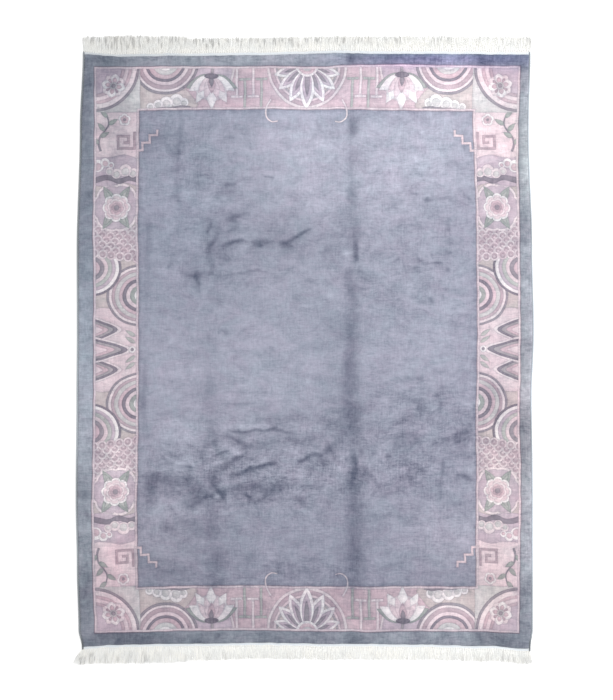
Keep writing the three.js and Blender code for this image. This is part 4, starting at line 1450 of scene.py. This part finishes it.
def paint_dyes(mesh, dyes, owners, colours, seed):
    """Gives every corner the colour of its wool, each figure's a little lighter or darker."""
    rng = np.random.default_rng(seed)
    dip = rng.normal(1, DIP_SPREAD, owners.max() + 1)
    shades = colours[dyes] * dip[owners][:, None]
    wall = np.tile(colours[DYE_NAMES.index("plain_band")], (len(mesh.polygons) - len(dyes), 1))
    counts = values_of(mesh.polygons, "loop_total", int)
    places = places_of(mesh)[values_of(mesh.loops, "vertex_index", int)]
    corners = np.repeat(np.vstack([shades, wall]), counts, axis=0)
    corners *= cast_over(places[:, 0], places[:, 1])
    corners = np.column_stack([corners, np.ones(len(corners))])
    layer = mesh.color_attributes.new("dye", "FLOAT_COLOR", "CORNER")
    layer.data.foreach_set("color", corners.ravel())


def point_values(mesh, name, values):
    layer = mesh.attributes.new(name, "FLOAT", "POINT")
    padded = np.ones(len(mesh.vertices)) * values[-1]
    padded[: len(values)] = values
    layer.data.foreach_set("value", padded)


MAP_LENGTH, MAP_MIDDLE = 3.06, (0.385, 0.5)  # metres of rug over the map's side, and its middle
HIDDEN_SCALE, HIDDEN_MIDDLE = 0.04, (0.9, 0.5)  # the same for the hidden face, which is small
WALL_LEAN = 1.004  # by which the foot of the walls lies further out on the map


def lay_flat_map(mesh, shown):
    """A map that keeps the shown faces at one scale, with the hidden flat face beside them."""
    verts = values_of(mesh.loops, "vertex_index", int)
    starts = values_of(mesh.polygons, "loop_start", int)
    places = values_of(mesh.vertices, "co", width=3)[:, :2][verts]
    corner = np.arange(len(verts))
    on_rim = np.isin(verts, verts[: starts[shown]])
    places[(corner >= starts[shown]) & ~on_rim] *= WALL_LEAN
    spots = places / MAP_LENGTH + MAP_MIDDLE
    hidden = corner >= starts[-1]
    spots[hidden] = places[hidden] * HIDDEN_SCALE + HIDDEN_MIDDLE
    layer = mesh.uv_layers.new(name=BAKE_MAP)
    layer.data.foreach_set("uv", spots.ravel())


SHARPEST_SMOOTH = 75  # degrees between faces that are still shaded as one


def finished(name, mesh, material, slot, *nodes):
    """A piece with its mesh, finish and the solids that it stands for; slot is not used."""
    piece = bpy.data.objects.new(name, mesh)
    bpy.context.scene.collection.objects.link(piece)
    mesh.materials.clear()
    mesh.materials.append(material)
    mesh.polygons.foreach_set("use_smooth", np.ones(len(mesh.polygons), bool))
    mesh.set_sharp_from_angle(angle=math.radians(SHARPEST_SMOOTH))
    mesh.update()
    if mesh.validate():
        raise RuntimeError(f"{name} had faces that can't be kept")
    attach(piece, "root")
    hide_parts(*nodes)
    return piece


# ---------------------------------------------------------------- finishes


class Wire:
    """An output in a material, on which sums can be written."""

    def __init__(self, finish, socket):
        self.finish = finish
        self.socket = socket

    def _sum(self, operation, first, second):
        node = self.finish.node("ShaderNodeMath", {"operation": operation}, {0: first, 1: second})
        return Wire(self.finish, node.outputs[0])

    def __add__(self, other):
        return self._sum("ADD", self, other)

    def __sub__(self, other):
        return self._sum("SUBTRACT", self, other)

    def __rsub__(self, other):
        return self._sum("SUBTRACT", other, self)

    def __mul__(self, other):
        return self._sum("MULTIPLY", self, other)

    __radd__ = __add__
    __rmul__ = __mul__


class Finish:
    """A material and the nodes that it is made of."""

    def __init__(self, name, holders=None, shader="Principled BSDF"):
        holders = bpy.data.materials if holders is None else holders
        self.material = holders.new(name)
        self.material.use_nodes = True
        self.nodes = self.material.node_tree.nodes
        self.links = self.material.node_tree.links
        self.shader = self.nodes[shader]

    def node(self, kind, settings=None, sockets=None):
        """A node of a kind, with its settings and the values or links of its sockets."""
        made = self.nodes.new(kind)
        for key, value in (settings or {}).items():
            setattr(made, key, value)
        self.feed(made, sockets or {})
        return made

    def feed(self, node, sockets):
        for key, value in sockets.items():
            if isinstance(value, Wire):
                self.links.new(value.socket, node.inputs[key])
            else:
                node.inputs[key].default_value = value

    def wire(self, node, output=0):
        return Wire(self, node.outputs[output])

    def stretched(self, across=1, along=1, up=1.0, turn=0.0):
        """Object coordinates, scaled and turned about the upright."""
        place = self.wire(self.node("ShaderNodeTexCoord"), "Object")
        sockets = {"Vector": place, "Scale": (across, along, up), "Rotation": (0, 0, turn)}
        return self.wire(self.node("ShaderNodeMapping", None, sockets))

    def noise(self, stretch, scale, detail=2.0, rough=0.55, warp=0.0):
        """Noise from -1 to 1 about its middle, over stretched coordinates."""
        sockets = {
            "Vector": self.stretched(*stretch),
            "Scale": scale,
            "Detail": detail,
            "Roughness": rough,
            "Distortion": warp,
        }
        return self.wire(self.node("ShaderNodeTexNoise", None, sockets)) * 2.0 - 1.0

    def spread(self, value, low, high):
        """A value taken from a range to that from 0 to 1, and kept in it."""
        sockets = {0: value, 1: low, 2: high, 3: 0.0, 4: 1.0}
        return self.wire(self.node("ShaderNodeMapRange", {"clamp": True}, sockets))

    def value_of(self, name, output="Fac"):
        return self.wire(self.node("ShaderNodeAttribute", {"attribute_name": name}), output)

    def scaled(self, colour, tone):
        """A colour made lighter or darker."""
        sockets = {0: colour, "Scale": tone}
        return self.wire(self.node("ShaderNodeVectorMath", {"operation": "SCALE"}, sockets))

    def mixed(self, share, first, second, blend="MIX"):
        settings = {"data_type": "RGBA", "blend_type": blend}
        node = self.node("ShaderNodeMix", settings, {0: share, 6: first, 7: second})
        return self.wire(node, 2)

    def times(self, first, second):
        """A colour multiplied by another."""
        return self.mixed(1.0, first, second, "MULTIPLY")

    def cast(self, noise, low, high):
        """A slight cast that changes from one colour to another with some noise."""
        return self.mixed(self.spread(noise, -0.5, 0.5), (*low, 1), (*high, 1))

    def finish(self, colour, relief, distance, **values):
        """Joins the colour and the relief to the shader, with its plain values."""
        bump = self.node("ShaderNodeBump", None, {"Height": relief, "Distance": distance})
        self.feed(self.shader, {"Base Color": colour, "Normal": self.wire(bump, "Normal")})
        self.feed(self.shader, {key.replace("_", " "): value for key, value in values.items()})
        return self.material


def pile_finish():
    """Cut wool: streaks along the knot rows and the warps, patches of lay and dye, fine tufts, the
    painted light and shade held in lay, and painted shade in the carved outlines.
    """
    finish = Finish("cut wool pile")
    rows = finish.noise((26, 130), 1.0, 2.0, 0.7)
    columns = finish.noise((120, 16), 1.0, 2.0, 0.7)
    patches = finish.noise((1, 1.25), 9.0, 5.0, 0.85, 0.5)
    broad = finish.noise((1, 1.3), 3.0, 3.0, 0.6)
    tufts = finish.noise((), 330.0, 1.0)
    brushed = finish.noise((5, 21), 1.0, 4.0, 0.8, 0.4)
    grain = rows * 0.22 + columns * 0.19 + patches * 0.48 + brushed * 0.25
    tone = grain * finish.value_of("mottling") + broad * 0.08 + tufts * 0.14 + 1.0
    lay = finish.value_of("lay") - 1.0
    broken = finish.noise((), 60.0, 2.0) * 0.35 + 1.0
    # The carved outlines get painted shade, up to 0.26 darker where they are cut deepest
    tone = tone * (lay * broken + 1.0) * (1.0 - finish.value_of("cut") * 0.26)
    hue = finish.noise((1, 1.3), 7.0, 5.0, 0.75, 0.6)
    cast = finish.cast(hue, (0.945, 1.022, 1.0), (1.055, 0.978, 1.0))
    sockets = {0: tone * 1.04 - 0.04, 1: tone, 2: tone * 0.9 + 0.1}
    shade = finish.wire(finish.node("ShaderNodeCombineXYZ", None, sockets))
    colour = finish.times(finish.times(finish.value_of("dye", "Color"), cast), shade)
    relief = rows * 0.35 + tufts * 0.5 + patches * 0.4
    return finish.finish(
        colour, relief, 0.0012, Roughness=0.95, Sheen_Weight=0.25, Sheen_Roughness=0.5,
        Specular_IOR_Level=0.2,
    )


def knot_finish():
    """The flat backs of the knots, in rows."""
    finish = Finish("wool knots")
    bricks = finish.node(
        "ShaderNodeTexBrick",
        {"offset": 0.5},
        {
            "Vector": finish.stretched(),
            "Color1": (1, 1, 1, 1),
            "Color2": (0.86, 0.86, 0.86, 1),
            "Mortar": (0.62, 0.6, 0.58, 1),
            "Scale": 1.0,
            "Mortar Size": 0.0004,
            "Mortar Smooth": 0.6,
            "Brick Width": 0.0046,
            "Row Height": 0.0036,
        },
    )
    abrash = finish.noise((1, 5), 2.0, 3.0)
    colour = finish.scaled(finish.value_of("dye", "Color"), abrash * 0.06 + 0.94)
    colour = finish.times(colour, finish.wire(bricks, "Color"))
    relief = 1.0 - finish.wire(bricks, "Fac")
    return finish.finish(colour, relief, 0.0006, Roughness=0.9, Specular_IOR_Level=0.2)


def overcast_finish(colour):
    """Wool yarn wound close round a cord."""
    finish = Finish("overcast wool")
    fibres = finish.noise((260, 900, 260, 0.2), 1.0, 2.0)
    faded = finish.noise((), 6.0, 3.0)
    # This value holds the band's tone along the side, painted light that makes the cord paler, and
    # darker near tips
    tone = (fibres * 0.22 + faded * 0.12 + 1.0) * finish.value_of("worn")
    colour = finish.scaled(tuple(colour), tone)
    return finish.finish(
        colour, fibres, 0.0005, Roughness=0.9, Sheen_Weight=0.2, Specular_IOR_Level=0.2
    )


def cotton_finish(name, colour, scale):
    """Plied cotton, darker by painted shade on the woven bands and in the gaps between tassels."""
    finish = Finish(name)
    ply = finish.noise(scale, 1.0, 2.0)
    aged = finish.noise((), 14.0, 4.0)
    # gap holds painted shade: between the tassels on the strands, and on the woven bands
    tone = (ply * 0.06 + aged * 0.06 + 1.0) * (1.0 - finish.value_of("gap"))
    warm = finish.cast(aged, (0.985, 1, 1.015), (1.01, 0.995, 0.975))
    colour = finish.times(finish.scaled(tuple(colour), tone), warm)
    return finish.finish(
        colour, ply, 0.0004, Roughness=0.9, Sheen_Weight=0.4, Sheen_Roughness=0.5,
        Specular_IOR_Level=0.2,
    )


# ---------------------------------------------------------------- pieces


WALL_TONE = 0.9  # of the pile's sides
BACK_OUTLINES, BACK_POINTS = 1.6, 3  # how many times as far apart the points of the back are


def colours_of(dyes):
    return np.array([tuple(getattr(dyes, name)) for name in DYE_NAMES])


class RUG_OT_pile(Operator):
    """Make the wool pile with its carved border"""

    bl_idname = "rug.pile"
    bl_label = "Pile"

    def execute(self, context):
        sizes, dyes = context.scene.rug_sizes, context.scene.rug_dyes
        width = sizes.carve_width / MM
        points, triangles, owners, wool, cut = knotted_cloth(
            sizes.outline_step / MM, sizes.pile_step / MM, width
        )
        x, y = points[:, 0], points[:, 1]
        heights = pile_height(x, y) - sizes.carve_depth / MM * cut
        mesh = sheet_mesh("rug_pile", points, heights, triangles)
        add_thickness(mesh, PILE_BASE)
        paint_dyes(mesh, wool, owners, colours_of(dyes), 3)
        tone, mottling = lay_of_pile(x, y)
        point_values(mesh, "lay", np.append(tone, WALL_TONE))
        point_values(mesh, "mottling", np.append(mottling, 1.0))
        point_values(mesh, "cut", np.append(cut, 0.0))
        lay_flat_map(mesh, len(triangles))
        finished("rug_pile", mesh, pile_finish(), "wool_pile", "rug_cloth")
        return {"FINISHED"}


class RUG_OT_back(Operator):
    """Make the back of the rug, where the knots show flat"""

    bl_idname = "rug.back"
    bl_label = "Back"

    def execute(self, context):
        sizes, dyes = context.scene.rug_sizes, context.scene.rug_dyes
        points, triangles, owners, wool, _ = knotted_cloth(
            BACK_OUTLINES * sizes.outline_step / MM, BACK_POINTS * sizes.pile_step / MM
        )
        mesh = sheet_mesh("rug_back", points, np.zeros(len(points)), triangles[:, ::-1])
        add_thickness(mesh, BACK_TOP)
        paint_dyes(mesh, wool, owners, colours_of(dyes), 4)
        lay_flat_map(mesh, len(triangles))
        finished("rug_back", mesh, knot_finish(), "wool_pile", "rug_cloth")
        return {"FINISHED"}


def rolled_grid(across, up, place):
    """A grid whose points, each from (0, 0) to (1, 1), are put where a function says."""
    bm = bmesh.new()
    bmesh.ops.create_grid(bm, x_segments=across, y_segments=up, size=0.5)
    uv = np.array([vert.co[:2] for vert in bm.verts]) + 0.5
    for vert, co in zip(bm.verts, place(uv[:, 0], uv[:, 1]) * MM):
        vert.co = co
    return bm


# Each end of the rug: its name, the end of its pile, which way is outwards, its fringe
BOTH_ENDS = (("far", far_end, 1, FAR_FRINGE), ("near", near_end, -1, NEAR_FRINGE))
WEFTS = 7
WEAVE_MIDDLE, WEAVE_DEPTH = 2.35, 0.55  # height of the weave, and how far it goes up and down
TUCK = 2.0  # by how much the band starts under the pile
WOVEN_SHADE, WOVEN_SHADE_FROM = 0.36, 0.32  # painted shade on the band: how dark it is, and the gap strength it starts at
WOVEN_FLOOR = 0.1  # height of the band's flat underside


class RUG_OT_woven_ends(Operator):
    """Make the flat-woven band at each end, between the pile and the fringe"""

    bl_idname = "rug.woven_ends"
    bl_label = "Woven Ends"

    def execute(self, context):
        sizes, dyes = context.scene.rug_sizes, context.scene.rug_dyes
        material = cotton_finish("woven cotton", dyes.woven, (900, 300, 300))
        warps = round(PILE_WIDTH / (sizes.warp_pitch / MM))
        for name, end, outwards, fringe in BOTH_ENDS:

            def place(u, v):
                y = end((u - 0.5) * PILE_WIDTH) + outwards * (v * (WOVEN_END + TUCK) - TUCK)
                left, right = left_edge(y) + CLOTH_INSET, right_edge(y) - CLOTH_INSET
                over = np.cos(np.pi * u * warps) * np.cos(np.pi * v * WEFTS)
                height = WEAVE_MIDDLE + WEAVE_DEPTH * over
                return np.column_stack([left + (right - left) * u, y, height])

            mesh = mesh_of(rolled_grid(2 * warps, 2 * WEFTS, place), f"woven_end_{name}")
            add_thickness(mesh, WOVEN_FLOOR)
            # Painted shade on the woven band where the fringe's gap shade is strongest
            grey = along(fringe, 3, places_of(mesh)[:, 0]) - WOVEN_SHADE_FROM
            point_values(mesh, "gap", WOVEN_SHADE * np.clip(grey, 0, 1))
            finished(mesh.name, mesh, material, "cotton_warp", "rug_cloth")
        return {"FINISHED"}


# Each long edge: its name, where it runs, which way is inwards, its column in SIDE_TONES, and how
# much paler than the band the cord is painted, as painted light against the pile's shade on it
BOTH_EDGES = (("left", left_edge, 1, 1, 1.62), ("right", right_edge, -1, 2, 2.3))
CORD_SIDES = 10
CORD_TIP = 12.0  # length of the taper at its tips
DARK_TIPS_FROM, DARK_TIPS_OVER = -1530, 80  # where the dark near tips start, and the length they fade over


class RUG_OT_selvedges(Operator):
    """Make the overcast cord along each long edge"""

    bl_idname = "rug.selvedges"
    bl_label = "Selvedges"

    def execute(self, context):
        sizes, dyes = context.scene.rug_sizes, context.scene.rug_dyes
        material = overcast_finish(dyes.selvedge)
        pitch = sizes.wrap_pitch / MM
        for name, edge, inwards, side, paler in BOTH_EDGES:
            corner = np.array([-inwards * HALF_WIDTH])
            low, high = near_end(corner)[0] - WOVEN_END, far_end(corner)[0] + WOVEN_END
            turns = round((high - low) / pitch)

            def place(u, v):
                angle, y = math.tau * u, low + (high - low) * v
                taper = np.clip(np.minimum(v, 1 - v) * (high - low) / CORD_TIP, 0, 1)
                wrap = 0.94 + 0.09 * np.cos(math.tau * turns * v - angle * inwards)
                radius = SELVEDGE_RADIUS * wrap * (0.66 + 0.34 * np.sqrt(taper))
                x = edge(y) + inwards * SELVEDGE_RADIUS + radius * np.cos(angle)
                z = np.maximum(SELVEDGE_RADIUS + radius * np.sin(angle), 0.0)
                return np.column_stack([x, y, z])

            bm = rolled_grid(CORD_SIDES, 4 * turns, place)
            bmesh.ops.remove_doubles(bm, verts=bm.verts, dist=0.01 * MM)
            tips = [each for each in bm.edges if each.is_boundary]
            bmesh.ops.holes_fill(bm, edges=tips, sides=CORD_SIDES)
            bmesh.ops.recalc_face_normals(bm, faces=bm.faces)
            mesh = mesh_of(bm, f"selvedge_wrap_{name}")
            y = places_of(mesh)[:, 1]
            near_tips_darker = np.clip((y - DARK_TIPS_FROM) / DARK_TIPS_OVER, 0.5, 1)
            # The band's tone, times painted light that makes the cord paler, and half as bright at the
            # near tips
            point_values(mesh, "worn", along(SIDE_TONES, side, y) * paler * near_tips_darker)
            finished(mesh.name, mesh, material, "wool_selvedge", f"selvedge_{name}")
        return {"FINISHED"}


STRAND_POINTS, KNOT_POINTS = 6, 8
ROOT_SPREAD, TIP_SPREAD = 0.66, 1.35  # how wide a tassel is at its knot and tips, in pitches
TIP_RADIUS = 0.45  # of a strand, as a share of its radius at the knot
KNOT_RADIUS, KNOT_OUT, KNOT_YARN = 4.6, 4.0, 1.15  # half its width, its place, its yarn's radius


def strand(start_x, tip_x, root, outwards, length, rng):
    """One strand that sways a little from its knot to its tip, as (points, radii, closed)."""
    wave, phase, waves = rng.uniform(0.3, 1.6), rng.uniform(0, math.tau), rng.uniform(0.8, 2.2)
    high, low = rng.uniform(1.6, 3.4), rng.uniform(1.2, 3.2)
    points = []
    for step in range(STRAND_POINTS):
        s = step / (STRAND_POINTS - 1)
        x = start_x + (tip_x - start_x) * math.sin(math.pi / 2 * s) ** 1.2
        x += wave * s * math.sin(phase + math.tau * waves * s)
        z = high + (low - high) * min(1, 1.8 * s)
        points.append((x, root + outwards * (length * s - 1.5), z))
    radii = [1.0 - 0.12 * step / (STRAND_POINTS - 1) for step in range(STRAND_POINTS - 1)]
    return points, [*radii, TIP_RADIUS], False


def knot(at, root, outwards, tilt):
    """The turn of yarn that ties a tassel, as (points, radii, closed)."""
    ring = []
    for step in range(KNOT_POINTS):
        a = math.tau * step / KNOT_POINTS
        y = root + outwards * KNOT_OUT + tilt * math.cos(a)
        ring.append((at + KNOT_RADIUS * math.cos(a), y, max(2.6 + 1.5 * math.sin(a), 1.3)))
    return ring, [KNOT_YARN] * KNOT_POINTS, True


def tassel_lines(at, k, pitch, end, outwards, fringe, count, rng):
    """The strands of the tassel with number k, and its knot."""
    here = np.array([at])
    root = float(end(here)[0]) + outwards * WOVEN_END
    reach = float(along(fringe, 1, here)[0]) - WOVEN_END
    sway = 6 * math.sin(k * 0.275) * math.sin(k * 0.105 + 1)
    lean = float(along(fringe, 2, here)[0]) + sway + rng.uniform(-2, 2)
    uneven_by = 4 * math.sin(k * 1.05) * math.cos(k * 0.285)
    lines = []
    for j in range(count):
        place = (j + 0.5) / count - 0.5
        start_x = at + place * ROOT_SPREAD * pitch
        tip_x = at + lean + (place + rng.uniform(-0.2, 0.2)) * TIP_SPREAD * pitch
        length = reach + 0.5 * uneven_by + rng.uniform(-6, 3)
        lines.append(strand(start_x, tip_x, root, outwards, length, rng))
    return [*lines, knot(at, root, outwards, rng.uniform(-1.2, 1.2))]


GAP_SHADE_BASE, DARKEST_GAP_SHADE = 0.16, 0.42  # painted shade: how dark the strands are at least and at most, by their gaps
GAPS_FROM, GAPS_OVER = 24, 36  # where the gaps start to show, from the pile, and how soon they do


def painted_gap_shade(mesh, end, fringe):
    """How dark the strands are painted: the shade of the gaps between tassels deepens from the knots
    to the tips.
    """
    x, y, _ = places_of(mesh).T
    out = np.clip((np.abs(y - end(x)) - GAPS_FROM) / GAPS_OVER, 0, 1)
    dense = np.clip(0.7 + 0.8 * drift(x, y, 45, 22), 0, 2)
    gap = np.clip(1.9 * drift(x, y / 5, 6.3, 21) - 0.1, 0, 1)
    return np.minimum(along(fringe, 3, x) * (GAP_SHADE_BASE + out * gap * dense), DARKEST_GAP_SHADE)


def tubes(name, lines, width):
    """Round yarn along each line, as one mesh."""
    curve = bpy.data.curves.new(name, "CURVE")
    curve.dimensions = "3D"
    curve.bevel_depth = width / 2
    curve.bevel_resolution = 1
    curve.use_fill_caps = True
    for points, radii, closed in lines:
        spline = curve.splines.new("POLY")
        spline.points.add(len(points) - 1)
        spline.use_cyclic_u = closed
        for point, place, radius in zip(spline.points, points, radii):
            point.co = (*(value * MM for value in place), 1)
            point.radius = radius
    holder = bpy.data.objects.new(name, curve)
    mesh = bpy.data.meshes.new_from_object(holder)
    bpy.data.objects.remove(holder)
    bpy.data.curves.remove(curve)
    mesh.name = name
    return mesh


class RUG_OT_fringes(Operator):
    """Make the knotted fringe at each end"""

    bl_idname = "rug.fringes"
    bl_label = "Fringes"

    def execute(self, context):
        sizes, dyes = context.scene.rug_sizes, context.scene.rug_dyes
        material = cotton_finish("fringe cotton", dyes.cotton, (500, 120, 500))
        for name, end, outwards, fringe in BOTH_ENDS:
            rng = random.Random(f"{name} fringe")
            corner = np.array([outwards * HALF_LENGTH])
            left, right = left_edge(corner)[0], right_edge(corner)[0]
            pitch = (right - left) / sizes.tassels
            lines = []
            for k in range(sizes.tassels):
                at = left + (k + 0.5) * pitch
                lines += tassel_lines(at, k, pitch, end, outwards, fringe, sizes.strands, rng)
            mesh = tubes(f"fringe_strands_{name}", lines, sizes.strand_width)
            point_values(mesh, "gap", painted_gap_shade(mesh, end, fringe))
            finished(mesh.name, mesh, material, "cotton_warp", f"fringe_{name}")
        return {"FINISHED"}


FLOOR_HALF, FLOOR_DROP = 12, 0.0006  # half its width, and how far it lies under the rug, in metres
FLOOR_GLOW = 0.35  # what the floor adds of its own where it is seen, which lights nothing
SKY = 0.69  # strength of the light from all round, which the camera itself sees at 1
WINDOW_POWER, WINDOW_SIZE, WINDOW_PLACE = 224, 1.6, (3.3, 0.8, 5.4)  # watts, metres across, where
VIEW_HEIGHT = 3.553  # how much of the rug's top plane the view takes in
CAMERA_HEIGHT = 9.0
CAMERA_ASIDE = (0.0076, 0.0008)  # from over the middle of the rug
SENSOR = 36.0


def seen_directly(finish, *outputs):
    """1 for the rays of some outputs of Light Path, and 0 for the rest."""
    rays = finish.node("ShaderNodeLightPath")
    first, *others = (finish.wire(rays, output) for output in outputs)
    return sum(others, first)


def floor_finish(colour):
    """A plain pale floor that shows a little of its own light to the camera and in gloss."""
    finish = Finish("floor")
    finish.feed(finish.shader, {"Base Color": (*colour, 1), "Roughness": 1.0})
    direct = seen_directly(finish, "Is Camera Ray", "Is Glossy Ray")
    glow = finish.node("ShaderNodeEmission", None, {"Strength": direct * FLOOR_GLOW})
    both = finish.node("ShaderNodeAddShader")
    finish.links.new(finish.shader.outputs[0], both.inputs[0])
    finish.links.new(glow.outputs[0], both.inputs[1])
    finish.links.new(both.outputs[0], finish.nodes["Material Output"].inputs["Surface"])
    return finish.material


class RUG_OT_stage(Operator):
    """Make the floor, the light and the camera above the rug"""

    bl_idname = "rug.stage"
    bl_label = "Stage"

    def execute(self, context):
        scene = context.scene
        bm = bmesh.new()
        bmesh.ops.create_grid(bm, x_segments=1, y_segments=1, size=FLOOR_HALF)
        bmesh.ops.translate(bm, verts=bm.verts, vec=(0, 0, -FLOOR_DROP))
        floor = bpy.data.objects.new("floor", mesh_of(bm, "floor"))
        floor.data.materials.append(floor_finish(scene.rug_dyes.floor))
        scene.collection.objects.link(floor)

        room = Finish("room", bpy.data.worlds, "Background")
        strength = seen_directly(room, "Is Camera Ray") * (1 - SKY) + SKY
        room.feed(room.shader, {"Color": (1, 1, 1, 1), "Strength": strength})
        scene.world = room.material
        lamp = bpy.data.lights.new("window", "AREA")
        lamp.shape = "DISK"
        lamp.size = WINDOW_SIZE
        lamp.energy = WINDOW_POWER
        window = bpy.data.objects.new("window", lamp)
        window.location = WINDOW_PLACE
        window.rotation_euler = (-window.location).to_track_quat("-Z", "Y").to_euler()
        scene.collection.objects.link(window)

        low, high = (Vector(corner) for corner in CAD_BOX)
        lens = bpy.data.cameras.new("above")
        lens.sensor_fit = "VERTICAL"
        lens.sensor_height = SENSOR
        lens.lens = SENSOR * (CAMERA_HEIGHT - high.z) / VIEW_HEIGHT
        lens.clip_end = 60
        camera = bpy.data.objects.new("above", lens)
        middle_x, middle_y = (low.x + high.x) / 2, (low.y + high.y) / 2
        aside_x, aside_y = CAMERA_ASIDE
        camera.location = (middle_x + aside_x, middle_y + aside_y, CAMERA_HEIGHT)
        scene.collection.objects.link(camera)
        scene.camera = camera
        scene.view_settings.view_transform = "Standard"
        return {"FINISHED"}


class RUG_PT_rug(Panel):
    """The pieces of the rug, each with a button that makes it"""

    bl_label = "Hand-Knotted Rug"
    bl_idname = "RUG_PT_rug"
    bl_space_type = "VIEW_3D"
    bl_region_type = "UI"
    bl_category = "Rug"

    def draw(self, context):
        column = self.layout.column()
        for operator in PIECES:
            column.operator(operator.bl_idname)
        for group in (context.scene.rug_sizes, context.scene.rug_dyes):
            for name in type(group).__annotations__:
                column.prop(group, name)


PIECES = (
    RUG_OT_pile,
    RUG_OT_back,
    RUG_OT_woven_ends,
    RUG_OT_selvedges,
    RUG_OT_fringes,
    RUG_OT_stage,
)
CLASSES = (RugSizes, RugDyes, *PIECES, RUG_PT_rug)


def register():
    for each in CLASSES:
        bpy.utils.register_class(each)
    bpy.types.Scene.rug_sizes = PointerProperty(type=RugSizes)
    bpy.types.Scene.rug_dyes = PointerProperty(type=RugDyes)


def unregister():
    del bpy.types.Scene.rug_dyes
    del bpy.types.Scene.rug_sizes
    for each in reversed(CLASSES):
        bpy.utils.unregister_class(each)


def declare_cloth():
    """Names the pieces that go with the sheet, and does nothing more with them."""
    names = ("rug_back", "woven_end_far", "woven_end_near", "selvedge_wrap_left")
    names += ("selvedge_wrap_right", "fringe_strands_far", "fringe_strands_near")


def main():
    register()
    for piece in PIECES:
        path, name = piece.bl_idname.split(".")
        getattr(getattr(bpy.ops, path), name)()
    declare_cloth()


if __name__ == "__main__":
    main()
